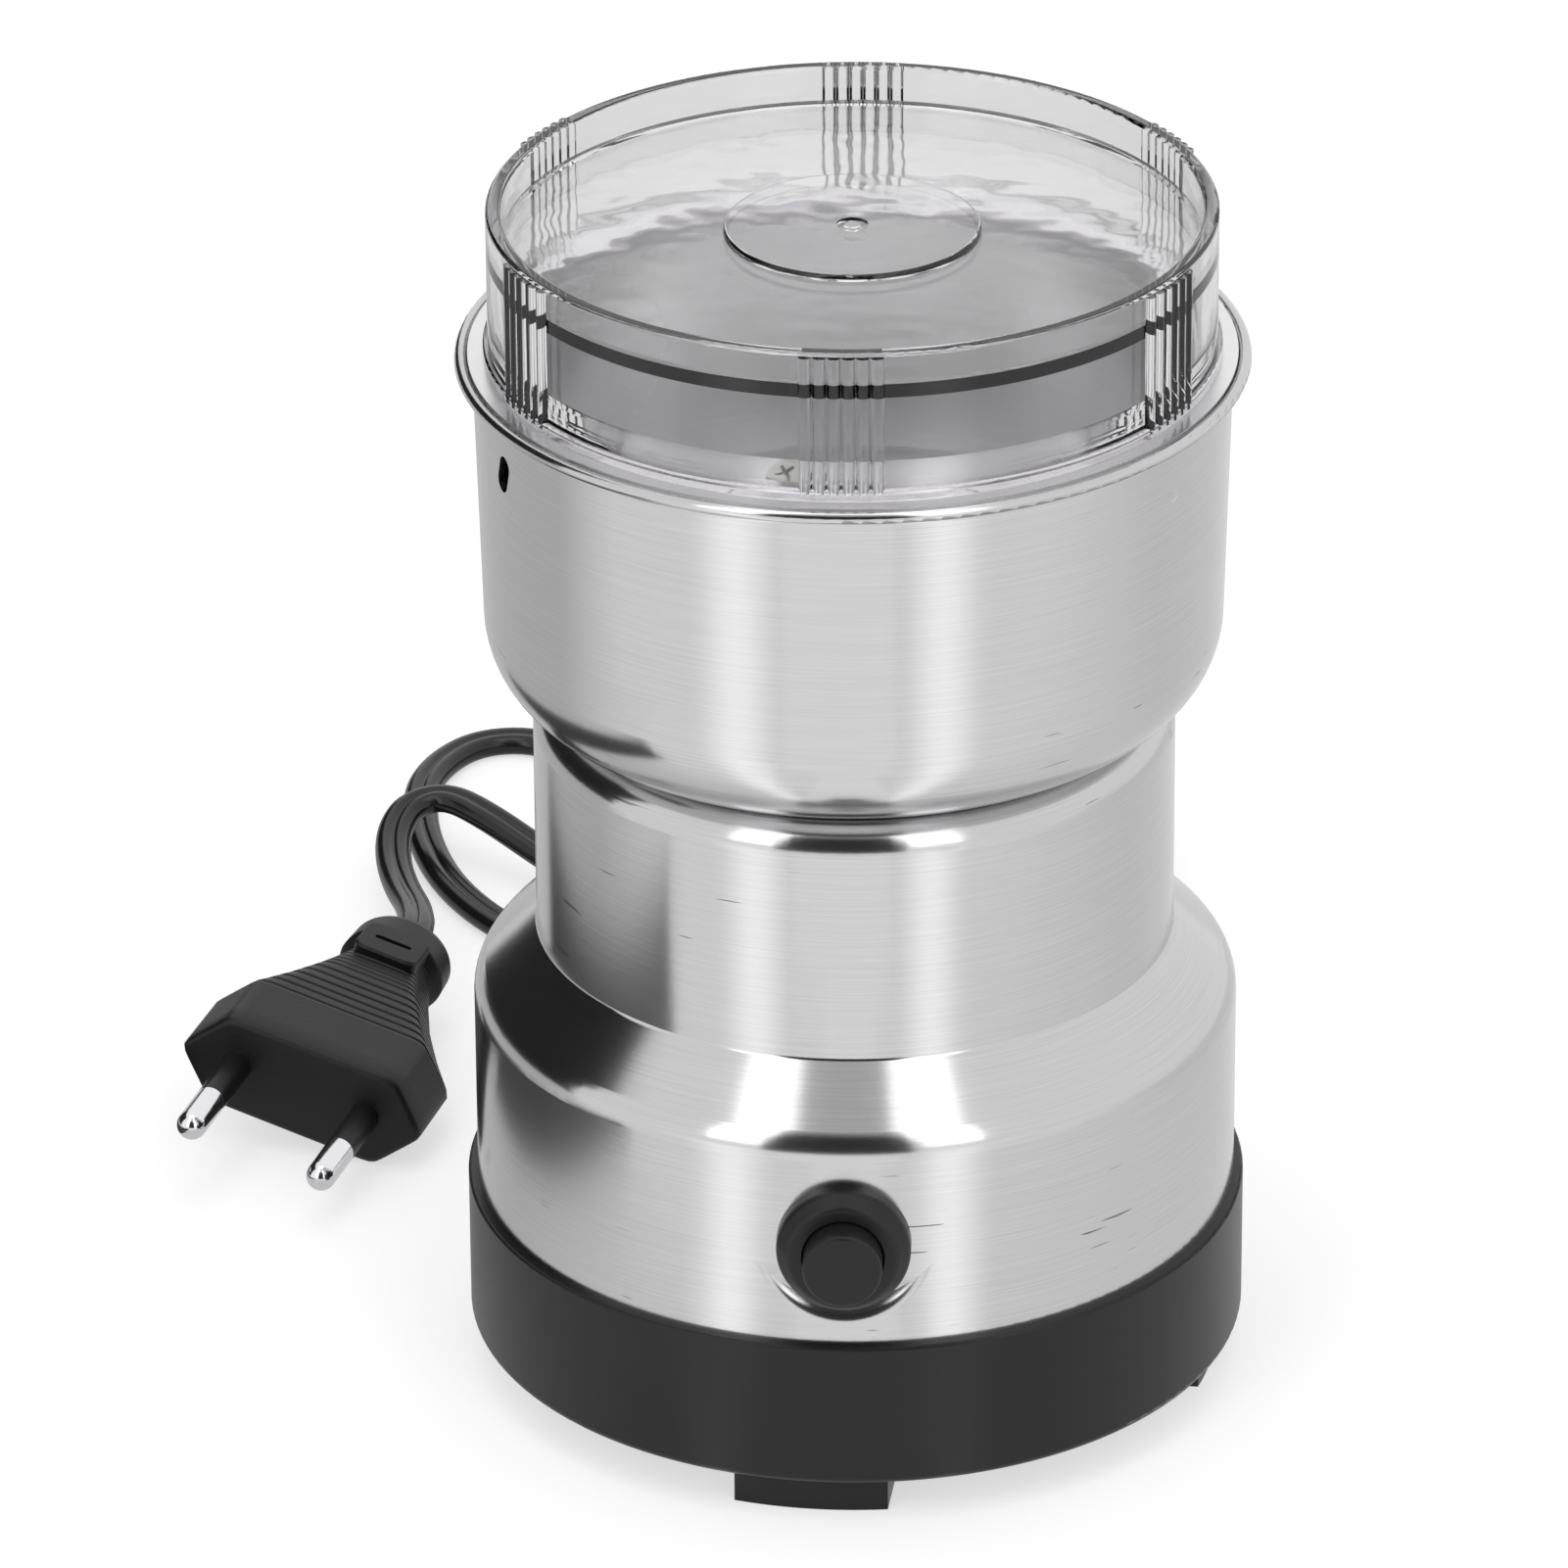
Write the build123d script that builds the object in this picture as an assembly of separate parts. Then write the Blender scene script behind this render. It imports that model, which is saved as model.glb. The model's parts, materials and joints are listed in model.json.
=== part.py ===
from build123d import *
import os
from math import cos, pi, radians, sin, sqrt, tan

# Electric spice grinder: a motor in a steel housing on a black base, a steel bowl with a blade,
# a clear lid and a corded plug.  Lengths are in millimetres.  Z runs up the motor's axis, the
# feet stand on Z = 0 and the push button faces -Y.  Each function in NODES makes one piece or
# one set of like pieces.

# --- black base ---------------------------------------------------------------------------
foot_height = 5.4
foot_width = 19.5
foot_depth = 8.0
foot_inset = 3.3
foot_count = 4
foot_turn = -5.5
ring_reach = 1.2
ring_height = 19.7
ring_wall = 2.4
ring_floor = 2.5
ring_edge = 1.2
ring_lip = 0.4
spigot_height = 4.0
spigot_wall = 1.8
vent_width = 2.2
vent_length = 18.0
vent_pitch = 5.0
vent_count = 5

# --- steel housing ------------------------------------------------------------------------
steel = 0.8
body_radius = 48.6
body_height = 25.7
shoulder_radius = 5.0
shoulder_angle = 45.0
neck_radius = 40.5
neck_crease = 0.6
housing_height = 67.7
neck_lip = 6.0
neck_edge = 4.0

# --- bowl ---------------------------------------------------------------------------------
bowl_radius = 47.3
bowl_height = 47.0
bowl_draft = 1.2
bowl_corner = 12.0
flange_reach = 2.2
bead_radius = 0.8
flare_radius = 1.2
hub_hole_radius = 10.0
fixing_turns = (-64.0, 180.0)
dimple_turn = 58.0
fixing_drop = 8.5
fixing_width = 2.8
fixing_length = 5.2
fixing_slant = 20.0
dimple_radius = 2.6
dimple_depth = 0.4
cup_wall = 0.7
cup_gap = 2.4
cup_depth = 41.6
cup_corner = 9.0
cup_edge = 0.6
spacer_width = 16.0

# --- lid ----------------------------------------------------------------------------------
lid_radius = 45.3
lid_height = 19.2
lid_wall = 1.9
lid_plate = 1.8
lid_rim = 4.6
lid_crown = 1.2
lid_edge = 0.5
lid_foot_step = 0.6
lid_foot_height = 1.4
lid_spigot = 3.0
lid_spigot_wall = 1.0
lid_taper = 1.5
lid_clearance = 0.25
lid_boss_radius = 16.0
lid_boss_height = 0.6
gate_radius = 2.0
gate_depth = 0.5
grip_count = 6
grip_ribs = 6
rib_radius = 0.85
rib_pitch = 1.75
rib_inset = 0.05

# --- push button and switch ---------------------------------------------------------------
button_z = 39.3
button_travel = 3.0
collar_radius = 8.4
collar_reach = 3.6
collar_slope = 1.5
collar_bore = 5.2
collar_barrel = 7.3
collar_gap = 0.2
cap_radius = 4.95
cap_reach = 3.6
cap_edge = 0.5
cap_flange = 0.9
cap_flange_thick = 1.4
cap_seat_depth = 2.0
stem_radius = 2.4
stem_floor = 3.9
nut_width = 18.0
nut_thick = 2.4
switch_gap = 3.4
switch_width = 15.0
switch_height = 13.0
switch_edge = 1.0
terminal_width = 4.8
terminal_thick = 0.8
terminal_length = 6.0
terminal_pitch = 8.0
button_wire = 0.5
button_coils = 4
spring_gap = 0.15

# --- motor --------------------------------------------------------------------------------
fit_gap = 0.05
shaft_radius = 2.5
bush_radius = 5.0
bush_length = 6.0
bush_seat = 1.0
boss_wall = 2.4
stator_width = 52.0
stator_depth = 48.0
stator_height = 20.0
stator_corner = 4.0
stator_z = 44.0
armature_radius = 12.2
air_gap = 0.6
armature_overhang = 1.0
armature_slots = 12
slot_radius = 1.1
slot_land = 0.6
winding_height = 5.2
winding_inner = 3.6
winding_outer = 11.0
winding_edge = 1.7
commutator_radius = 7.0
commutator_lift = 1.0
commutator_gap = 0.7
commutator_bars = 24
bar_gap = 0.4
brush_width = 5.0
brush_height = 6.0
brush_length = 11.0
holder_wall = 0.8
holder_offset = 2.0
brush_spring_room = 5.2
brush_spring_wire = 0.4
brush_spring_coils = 5
bracket_thick = 3.0
bracket_drop = 16.5
bracket_leg = 3.4
fan_gap = 1.1
fan_height = 6.0
fan_disc = 1.0
fan_lift = 2.0
fan_hub = 5.0
fan_blades = 9
fan_blade_thick = 1.0
frame_plate = 3.4
frame_gap = 0.3
post_radius = 2.8
post_gap = 0.7
post_turn = 32.0
base_screw_radius = 1.2
base_screw_bite = 12.0
motor_screw_radius = 1.7
motor_screw_edge = 3.5
motor_screw_bite = 9.0
motor_screw_turns = (90.0, 270.0)
bowl_screw_radius = 1.5
bowl_screw_circle = 20.0
bowl_screw_turns = (0.0, 120.0, 240.0)
bowl_screw_bite = 7.0
screw_boss_wall = 1.3
head_ratio = 1.9
head_thick = 1.7
coil_thick = 4.8
coil_reach = 4.6
coil_width = 5.6
coil_setback = 1.2
pole_width = 17.2
fuse_radius = 1.6
fuse_length = 9.0

# --- blade --------------------------------------------------------------------------------
seal_radius = 6.0
seal_lip = 2.0
seal_lip_height = 1.2
hub_radius = 4.6
hub_height = 3.4
hub_gap = 0.6
blade_radius = 33.0
blade_bend = 21.0
blade_root = 12.0
blade_tip = 8.0
blade_thick = 1.2
blade_rise = 5.0
blade_dip = 2.2
thread_radius = 2.0
thread_end = 1.0
blade_nut_radius = 4.6
blade_nut_height = 3.6
blade_nut_dome = 1.4
blade_nut_edge = 1.0

# --- cord and plug ------------------------------------------------------------------------
cord_diameter = 5.0
exit_z = 14.4
exit_run = 6.5
bushing_radius = 4.6
bushing_tip = 3.3
bushing_length = 20.0
bushing_flange = 1.4
bushing_flange_thick = 1.5
bushing_grooves = 4
groove_width = 1.2
exit_boss = 6.2
exit_boss_wall = 2.6
clamp_gap = 3.0
clamp_width = 18.0
clamp_length = 5.0
clamp_height = 4.0
clamp_screw_x = 6.4
coil_centre = (6.0, 131.0)
coil_radius = 27.5
coil_layers = 2
coil_slack = 0.5
plug_place = (-75.4, 45.3)
plug_turn = -15.5
plug_roll = 15.0
plug_width = 35.3
plug_thick = 13.7
plug_flat = 24.0
plug_block = 12.0
plug_grip = 24.0
plug_waist_width = 21.0
plug_waist_thick = 12.0
plug_neck_width = 13.5
plug_neck_thick = 10.0
plug_collar_radius = 7.6
plug_collar_thick = 6.5
plug_collar_edge = 1.4
plug_edge = 0.8
grip_ridges = 9
ridge_depth = 0.7
ridge_gap = 1.1
pin_radius = 2.0
pin_core = 1.4
pin_length = 19.0
pin_spacing = 18.6
pin_root = 6.0
sleeve_length = 10.0
wire_radius = 0.9
wire_pitch = 2.8
wire_end = 6.0

# Points that steer the loose cord and the wires between their two ends.
lead_points = [
    (-1.8, 89.3, 12.8), (-6.2, 94.6, 9.4), (-12.8, 97.2, 5.8), (-20.6, 97.6, 3.2),
    (-30.0, 98.4, 2.5), (-40.0, 101.4, 2.5), (-51.0, 107.5, 2.5), (-60.0, 120.5, 2.5),
    (-65.0, 135.5, 2.5), (-66.6, 150.0, 2.5), (-64.6, 159.5, 2.5), (-59.5, 167.0, 2.5),
    (-51.5, 168.5, 2.5), (-43.5, 163.0, 2.5), (-32.5, 158.0, 2.5), (-20.0, 157.5, 2.5),
    (-7.0, 159.0, 2.5),
]
tail_points = [
    (-6.0, 103.3, 7.4), (-17.0, 105.5, 4.6), (-28.5, 110.5, 2.9), (-38.5, 117.5, 3.2),
    (-47.5, 125.0, 5.6), (-55.5, 132.0, 8.6), (-61.5, 137.0, 8.8), (-67.3, 134.8, 8.2),
    (-69.0, 128.0, 7.4), (-68.8, 119.5, 7.0), (-67.0, 110.5, 7.2), (-63.8, 101.5, 8.5),
]
wire_points = [
    (3.0, 20.5, 11.8), (8.5, 10.0, 10.4), (9.5, -8.0, 10.6), (7.0, -22.0, 12.6), (4.6, -31.0, 16.0),
]
bend_share = 0.45

# --- levels and places worked out from the sizes ------------------------------------------
bend = radians(shoulder_angle)
ring_radius = body_radius + ring_reach
ring_top = foot_height + ring_height
ring_inside = ring_radius - ring_wall
floor_top = foot_height + ring_floor
shoulder_corner = ring_top + body_height + shoulder_radius * tan(bend / 2)
neck_z = shoulder_corner + (body_radius - neck_radius) / tan(bend)
neck_top = ring_top + housing_height
lip_radius = neck_radius - neck_lip
wall_inside = body_radius - steel
frame_top = neck_top - steel
frame_low = frame_top - frame_plate
mouth_z = neck_top + bowl_height
shell_flange_z = mouth_z - cup_wall - steel
flange_radius = bowl_radius + flange_reach
bead_centre = flange_radius - bead_radius
cup_radius = bowl_radius - steel - cup_gap
cup_inside = cup_radius - cup_wall
cup_floor = mouth_z - cup_depth
cup_low = cup_floor - cup_wall
fixing_z = mouth_z - fixing_drop
lid_inside = lid_radius - lid_wall
lid_low = mouth_z + fit_gap
lid_top = lid_low + lid_height
plate_top = lid_top - lid_rim
plate_centre = plate_top + lid_crown
stator_top = stator_z + stator_height
armature_low = stator_z - armature_overhang
armature_top = stator_top + armature_overhang
winding_circle = armature_radius - slot_radius - slot_land
bracket_top = stator_z - bracket_drop
bracket_low = bracket_top - bracket_thick
upper_bush_z = frame_low - bush_length
lower_bush_z = bracket_low - bush_length - bush_seat
commutator_low = bracket_top + commutator_lift
commutator_top = armature_low - winding_height - commutator_gap
brush_z = bracket_top + holder_wall + fit_gap + brush_height / 2
brush_start = commutator_radius + fit_gap
brush_end = brush_start + brush_length
fan_z = armature_top + winding_height + fan_lift
motor_screw_circle = stator_depth / 2 - motor_screw_edge
fan_radius = motor_screw_circle - bracket_leg - fan_gap
post_circle = neck_radius - steel - post_gap - post_radius
foot_turns = [foot_turn + k * 360 / foot_count for k in range(foot_count)]
post_turns = [turn + post_turn for turn in foot_turns]
coil_x = armature_radius + air_gap + coil_setback + coil_thick / 2
hub_z = cup_floor + seal_lip_height + hub_gap
blade_z = hub_z + hub_height
blade_top = blade_z + blade_thick
collar_front = body_radius + collar_reach
cap_front = collar_front + cap_reach
cap_seat = wall_inside - cap_seat_depth
stem_start = cap_seat - cap_flange_thick
switch_front = stem_start - button_travel - button_coils * button_wire
switch_back = stator_depth / 2 + switch_gap
stem_end = switch_back + stem_floor + button_travel + fit_gap
flange_bore = cap_radius + cap_flange + collar_gap
terminal_low = button_z - switch_height / 2 - terminal_length
terminal_y = -(switch_front + switch_back) / 2
bushing_wide = bushing_radius + bushing_flange
bushing_seat = sqrt(ring_inside ** 2 - bushing_wide ** 2) - fit_gap
clamp_y = bushing_seat - bushing_flange_thick - clamp_gap - clamp_length / 2
clamp_pad_top = exit_z - cord_diameter / 2
stub_end = clamp_y - clamp_length
boss_end = ring_radius + exit_boss
bushing_end = boss_end + bushing_length
roll = radians(plug_roll)
plug_z = plug_thick / 2 * cos(roll) + plug_flat / 2 * sin(roll)
plug_end = plug_block + plug_grip + plug_collar_thick


# --- shared shapes ------------------------------------------------------------------------
def rod(radius, low, high):
    """A round rod about the Z axis."""
    return Pos(0, 0, low) * extrude(Circle(radius), high - low)


def tube(outer, inner, low, high):
    """A round tube about the Z axis."""
    return Pos(0, 0, low) * extrude(Circle(outer) - Circle(inner), high - low)


def block(x, y, z, low=(0.0, 0.0, 0.0)):
    """A box centred in X and Y on the point `low` and standing on its height."""
    return Pos(low[0], low[1], low[2] + z / 2) * Box(x, y, z)


def turned(outline):
    """Spin a closed outline about the Z axis.  A point is (radius, height) or has its rounding too."""
    points = [(r, z) for r, z, *_ in outline]
    roundings = [rest[0] if rest else 0 for _, _, *rest in outline]
    line = FilletPolyline(*points, radius=roundings, close=True)
    return revolve(make_face(Plane.XZ * line), Axis.Z, 360)


def drawn(outline, wall):
    """Sheet metal spun about the Z axis: the outline is its outer face, and the wall is on its left."""
    points = [(r, z) for r, z, *_ in outline]
    roundings = [rest[0] if rest else 0 for _, _, *rest in outline[1:-1]]
    line = FilletPolyline(*points, radius=roundings)
    section = Wire(line.edges()).offset_2d(wall, Kind.ARC, Side.LEFT, True)
    return revolve(make_face(Plane.XZ * section), Axis.Z, 360)


def placed(shape, turns, circle):
    """Copies of a shape at a radius, one for each angle in degrees."""
    return [Rot(0, 0, turn) * Pos(circle, 0, 0) * shape for turn in turns]


def facing_front(shape):
    """Lay a shape that was built along +Z on the button's axis, with +Z towards -Y."""
    return Pos(0, 0, button_z) * Rot(90, 0, 0) * shape


def along_exit(shape):
    """Lay a shape that was built along +Z on the cord's exit axis, with +Z towards +Y."""
    return Pos(0, 0, exit_z) * Rot(-90, 0, 0) * shape


def pan_screw(radius, low, high, head_up=True):
    """A pan-head screw along Z with a cross slot; the shank runs from low to high."""
    head_radius = radius * head_ratio
    head_low = high if head_up else low - head_thick
    slot_low = head_low + (head_thick / 2 if head_up else 0)
    screw = rod(radius, low, high) + rod(head_radius, head_low, head_low + head_thick)
    slot = block(head_radius * 1.2, radius * 0.45, head_thick / 2)
    for turn in (0, 90):
        screw -= Pos(0, 0, slot_low) * Rot(0, 0, turn) * slot
    return screw


def spring(radius, wire, length, coils):
    """A round-wire coil spring along Z that fills the given length."""
    rise = length - wire
    path = Helix(rise / coils, rise, radius)
    section = Plane(origin=path @ 0, z_dir=path % 0) * Circle(wire / 2)
    return Pos(0, 0, wire / 2) * sweep(section, path=path, is_frenet=True)


def bend_radii(points):
    """The largest arc that each corner of a route allows: a share of its shorter run."""
    radii = []
    for before, here, after in zip(points, points[1:], points[2:]):
        first, second = Vector(*here) - Vector(*before), Vector(*after) - Vector(*here)
        half_turn = radians(first.get_angle(second)) / 2
        radii.append(bend_share * min(first.length, second.length) / tan(half_turn))
    return radii


def round_cable(points, radius):
    """A round cable along straight runs that tangent arcs join."""
    path = FilletPolyline(*points, radius=bend_radii(points))
    section = Plane(origin=path @ 0, z_dir=path % 0) * Circle(radius)
    cable = sweep(section, path=path)
    print("cable length", round(path.length, 1), "tightest arc", round(min(bend_radii(points)), 1),
          "volume to section times length", round(cable.volume / (pi * radius ** 2 * path.length), 4))
    return cable


# --- base ---------------------------------------------------------------------------------
def base_cover():
    """Black ring and floor in one piece: a spigot inside the steel, vents, screw holes, a cord boss."""
    spigot = wall_inside - fit_gap
    cover = turned([
        (0, foot_height), (ring_radius, foot_height, ring_edge), (ring_radius, ring_top, ring_lip),
        (spigot, ring_top), (spigot, ring_top + spigot_height),
        (spigot - spigot_wall, ring_top + spigot_height), (spigot - spigot_wall, ring_top - ring_wall),
        (ring_inside, ring_top - 2 * ring_wall), (ring_inside, floor_top, ring_edge), (0, floor_top),
    ])
    pad_height = clamp_pad_top - floor_top
    cover += block(clamp_width, clamp_length, pad_height + ring_floor / 2,
                   (0, clamp_y, floor_top - ring_floor / 2))
    hole = rod(base_screw_radius + fit_gap, 0, ring_top)
    cover -= placed(hole, post_turns, post_circle)
    cover -= [Pos(side * clamp_screw_x, clamp_y, 0) * hole for side in (-1, 1)]
    for k in range(vent_count):
        offset = (k - (vent_count - 1) / 2) * vent_pitch
        cover -= block(vent_width, vent_length, 2 * ring_floor, (offset, 0, foot_height - ring_floor / 2))
    boss_start, boss = ring_radius - ring_wall / 2, bushing_radius + exit_boss_wall
    cover += along_exit(turned([(0, boss_start), (boss, boss_start), (boss, boss_end, ring_edge),
                                (0, boss_end)]))
    return cover - along_exit(rod(bushing_radius + fit_gap, ring_inside - ring_wall, 2 * ring_radius))


def feet():
    """Short feet under the ring, each curved along its outer edge."""
    outer = ring_radius - foot_inset
    band = tube(outer, outer - foot_depth, 0, foot_height)
    foot = band & block(foot_width, 2 * foot_depth, foot_height, (0, foot_depth / 2 - outer, 0))
    return [Rot(0, 0, turn) * foot for turn in foot_turns]


def base_screws():
    """Screws that go up through the floor into the motor frame's posts."""
    screw = pan_screw(base_screw_radius, foot_height, floor_top + base_screw_bite, head_up=False)
    return placed(screw, post_turns, post_circle)


def cord_bushing():
    """Tapered strain relief in the back of the ring, with a flange inside and one on the boss."""
    bore = cord_diameter / 2
    flange_end = boss_end + bushing_flange_thick
    sleeve = turned([
        (bore, bushing_seat - bushing_flange_thick), (bushing_wide, bushing_seat - bushing_flange_thick),
        (bushing_wide, bushing_seat), (bushing_radius, bushing_seat),
        (bushing_radius, boss_end + fit_gap), (bushing_wide, boss_end + fit_gap),
        (bushing_wide, flange_end, ring_lip), (bushing_radius, flange_end), (bushing_tip, bushing_end),
        (bore, bushing_end),
    ])
    spacing = (bushing_length - bushing_flange_thick) / (bushing_grooves + 1)
    for k in range(bushing_grooves):
        level = flange_end + spacing * (k + 0.5)
        sleeve -= tube(bushing_wide, bushing_tip, level, level + groove_width)
    return along_exit(sleeve)


def cord_stub():
    """The cord's stretch inside the base, from the clamp out through the strain relief."""
    return along_exit(rod(cord_diameter / 2, stub_end, bushing_end))


def cord_clamp():
    """Bridge over the cord on the floor's pad, with a screw hole in each end."""
    high = exit_z + clamp_height
    bar = block(clamp_width, clamp_length, high - clamp_pad_top, (0, clamp_y, clamp_pad_top))
    bar -= along_exit(rod(cord_diameter / 2, stub_end, ring_radius))
    bar -= block(cord_diameter, clamp_length, exit_z - clamp_pad_top, (0, clamp_y, clamp_pad_top))
    hole = rod(base_screw_radius + fit_gap, clamp_pad_top, high)
    return bar - [Pos(side * clamp_screw_x, clamp_y, 0) * hole for side in (-1, 1)]


def clamp_screws():
    """Two screws down through the clamp into the floor's pad."""
    screw = pan_screw(base_screw_radius, floor_top, exit_z + clamp_height)
    return [Pos(side * clamp_screw_x, clamp_y, 0) * screw for side in (-1, 1)]


def mains_wires():
    """Two insulated wires from the clamped cord to the switch's terminals."""
    across, end = wire_pitch / 2, terminal_pitch / 2
    points = [(across, stub_end, exit_z), (across, stub_end - wire_end, exit_z)] + wire_points
    points += [(end, terminal_y, terminal_low - wire_end), (end, terminal_y, terminal_low)]
    return [round_cable([(side * x, y, z) for x, y, z in points], wire_radius) for side in (-1, 1)]


# --- steel housing ------------------------------------------------------------------------
def steel_housing():
    """Drawn steel body, sloping shoulder and neck in one piece, its top edge turned inwards."""
    shell = drawn([
        (body_radius, ring_top), (body_radius, shoulder_corner, shoulder_radius),
        (neck_radius, neck_z, neck_crease), (neck_radius, neck_top, neck_edge), (lip_radius, neck_top),
    ], steel)
    return shell - facing_front(rod(collar_barrel + collar_gap, 0, 2 * body_radius))


# --- push button and switch ---------------------------------------------------------------
def switch_collar():
    """Bevelled bezel that hugs the round wall, and its threaded barrel through the wall."""
    bezel = facing_front(turned([
        (collar_bore, 0), (collar_bore, collar_front), (collar_radius - collar_slope, collar_front, 0.8),
        (collar_radius, collar_front - 1.2 * collar_slope, 1.5), (collar_radius, 0),
    ]))
    bezel -= rod(body_radius, 0, 2 * button_z)
    barrel = turned([
        (flange_bore, switch_front), (collar_barrel, switch_front), (collar_barrel, body_radius),
        (collar_bore, body_radius), (collar_bore, cap_seat), (flange_bore, cap_seat),
    ])
    return bezel + facing_front(barrel)


def collar_nut():
    """Hexagonal nut that pulls the bezel against the wall from inside."""
    corner = nut_width / sqrt(3)
    seat = sqrt(wall_inside ** 2 - corner ** 2)
    outline = RegularPolygon(corner, 6) - Circle(collar_barrel)
    return facing_front(Pos(0, 0, seat - nut_thick) * extrude(outline, nut_thick))


def button_cap():
    """Round push cap with a flange that stops against the collar's inner shoulder."""
    flange = cap_radius + cap_flange
    return facing_front(turned([
        (0, stem_start), (flange, stem_start), (flange, cap_seat - fit_gap),
        (cap_radius, cap_seat - fit_gap), (cap_radius, cap_front, cap_edge), (0, cap_front),
    ]))


def switch_plunger():
    """Stem behind the cap that closes the switch."""
    return facing_front(rod(stem_radius, stem_end, stem_start))


def switch_spring():
    """Coil spring that pushes the cap back out."""
    radius = stem_radius + spring_gap + button_wire / 2
    coil = spring(radius, button_wire, stem_start - switch_front, button_coils)
    return facing_front(Pos(0, 0, switch_front) * coil)


def switch_body():
    """Moulded switch block behind the collar, bored for the plunger."""
    outline = RectangleRounded(switch_width, switch_height, switch_edge)
    body = Pos(0, 0, switch_back) * extrude(outline, switch_front - switch_back)
    bore = rod(stem_radius + fit_gap, switch_back + stem_floor, switch_front)
    return facing_front(body - bore)


def switch_terminals():
    """Two flat terminals under the switch block."""
    tab = block(terminal_thick, terminal_width, terminal_length, (0, terminal_y, terminal_low))
    return [Pos(side * terminal_pitch / 2, 0, 0) * tab for side in (-1, 1)]


# --- bowl ---------------------------------------------------------------------------------
def bowl_shell():
    """Outer steel bowl with a rolled bead, punched fixing holes and one pressed dimple."""
    shell = drawn([
        (hub_hole_radius, neck_top), (bowl_radius - bowl_draft, neck_top, bowl_corner),
        (bowl_radius, shell_flange_z, flare_radius), (bead_centre, shell_flange_z),
    ], steel)
    bead = Plane.XZ * Pos(bead_centre, mouth_z - bead_radius) * Circle(bead_radius)
    shell += revolve(bead, Axis.Z, 360)
    slot = extrude(SlotOverall(fixing_length, fixing_width), cup_gap, both=True)
    slot = Rot(90, 0, 0) * Rot(0, 0, 90 - fixing_slant) * slot
    shell -= [Rot(0, 0, turn) * Pos(0, -bowl_radius, fixing_z) * slot for turn in fixing_turns]
    hole = rod(bowl_screw_radius + fit_gap, neck_top, cup_floor)
    shell -= placed(hole, bowl_screw_turns, bowl_screw_circle)
    ball = Pos(0, dimple_depth - bowl_radius - dimple_radius, fixing_z) * Sphere(dimple_radius)
    return shell - Rot(0, 0, dimple_turn) * ball


def grinding_bowl():
    """Inner steel cup with a rounded floor and a flange that lies on the outer shell's."""
    flange_low = mouth_z - cup_wall
    cup = drawn([
        (seal_radius, cup_low), (cup_radius, cup_low, cup_corner), (cup_radius, flange_low, cup_edge),
        (flange_radius - 2 * bead_radius - fit_gap, flange_low),
    ], cup_wall)
    hole = rod(bowl_screw_radius + fit_gap, cup_low, mouth_z)
    return cup - placed(hole, bowl_screw_turns, bowl_screw_circle)


def bowl_spacer():
    """Ring between the two bowls, bored for the screws."""
    ring = tube(hub_hole_radius + spacer_width, hub_hole_radius, neck_top + steel, cup_low)
    hole = rod(bowl_screw_radius + fit_gap, neck_top, cup_low)
    return ring - placed(hole, bowl_screw_turns, bowl_screw_circle)


def bowl_screws():
    """Screws through both bowls into the motor frame."""
    screw = pan_screw(bowl_screw_radius, frame_top - bowl_screw_bite, cup_floor)
    return placed(screw, bowl_screw_turns, bowl_screw_circle)


def shaft_seal():
    """Rubber seal round the shaft, from the motor frame up through the cup's floor."""
    lip, bore = seal_radius + seal_lip, shaft_radius + fit_gap
    lip_top = cup_floor + seal_lip_height
    return turned([
        (bore, neck_top), (seal_radius, neck_top), (seal_radius, cup_floor), (lip, cup_floor),
        (lip, lip_top, seal_lip_height / 3), (bore, lip_top),
    ])


# --- lid ----------------------------------------------------------------------------------
def degrees_round(length, radius):
    """The angle in degrees that a length takes along a circle."""
    return length / radius * 180 / pi


def lid():
    """Clear lid: a raised rim, a crowned plate, a skirt with a foot, a spigot and ribbed grips."""
    foot = lid_radius + lid_foot_step
    spigot_outer = cup_inside - lid_clearance
    spigot_inner = spigot_outer - lid_spigot_wall
    cover = turned([
        (foot, lid_low), (foot, lid_low + lid_foot_height, lid_edge / 2),
        (lid_radius, lid_low + lid_foot_height), (lid_radius, lid_top, lid_edge),
        (lid_inside, lid_top, lid_edge), (lid_inside, lid_low + lid_taper * lid_spigot),
        (spigot_inner, lid_low), (spigot_inner, lid_low - lid_spigot),
        (spigot_outer, lid_low - lid_spigot), (spigot_outer, lid_low),
    ])
    upper = TangentArc((0, plate_centre), (lid_inside, plate_top), tangent=(1, 0))
    lower = Pos(0, -lid_plate) * upper
    plate = make_face(Plane.XZ * (upper + lower + Line(lower @ 0, upper @ 0) + Line(upper @ 1, lower @ 1)))
    cover += revolve(plate, Axis.Z, 360)
    boss_top = plate_centre + lid_boss_height
    boss_low = plate_centre - lid_plate
    cover += turned([(0, boss_low), (lid_boss_radius, boss_low), (lid_boss_radius, boss_top, lid_edge),
                     (0, boss_top)])
    cover -= tube(gate_radius, gate_radius / 2, boss_top - gate_depth, lid_top)
    rib = Pos(0, rib_inset - lid_radius, 0) * rod(rib_radius, lid_low + lid_edge, lid_top - lid_edge)
    turns = [k * 360 / grip_count + degrees_round((n - (grip_ribs - 1) / 2) * rib_pitch, lid_radius)
             for k in range(grip_count) for n in range(grip_ribs)]
    return cover + [Rot(0, 0, turn) * rib for turn in turns]


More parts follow.
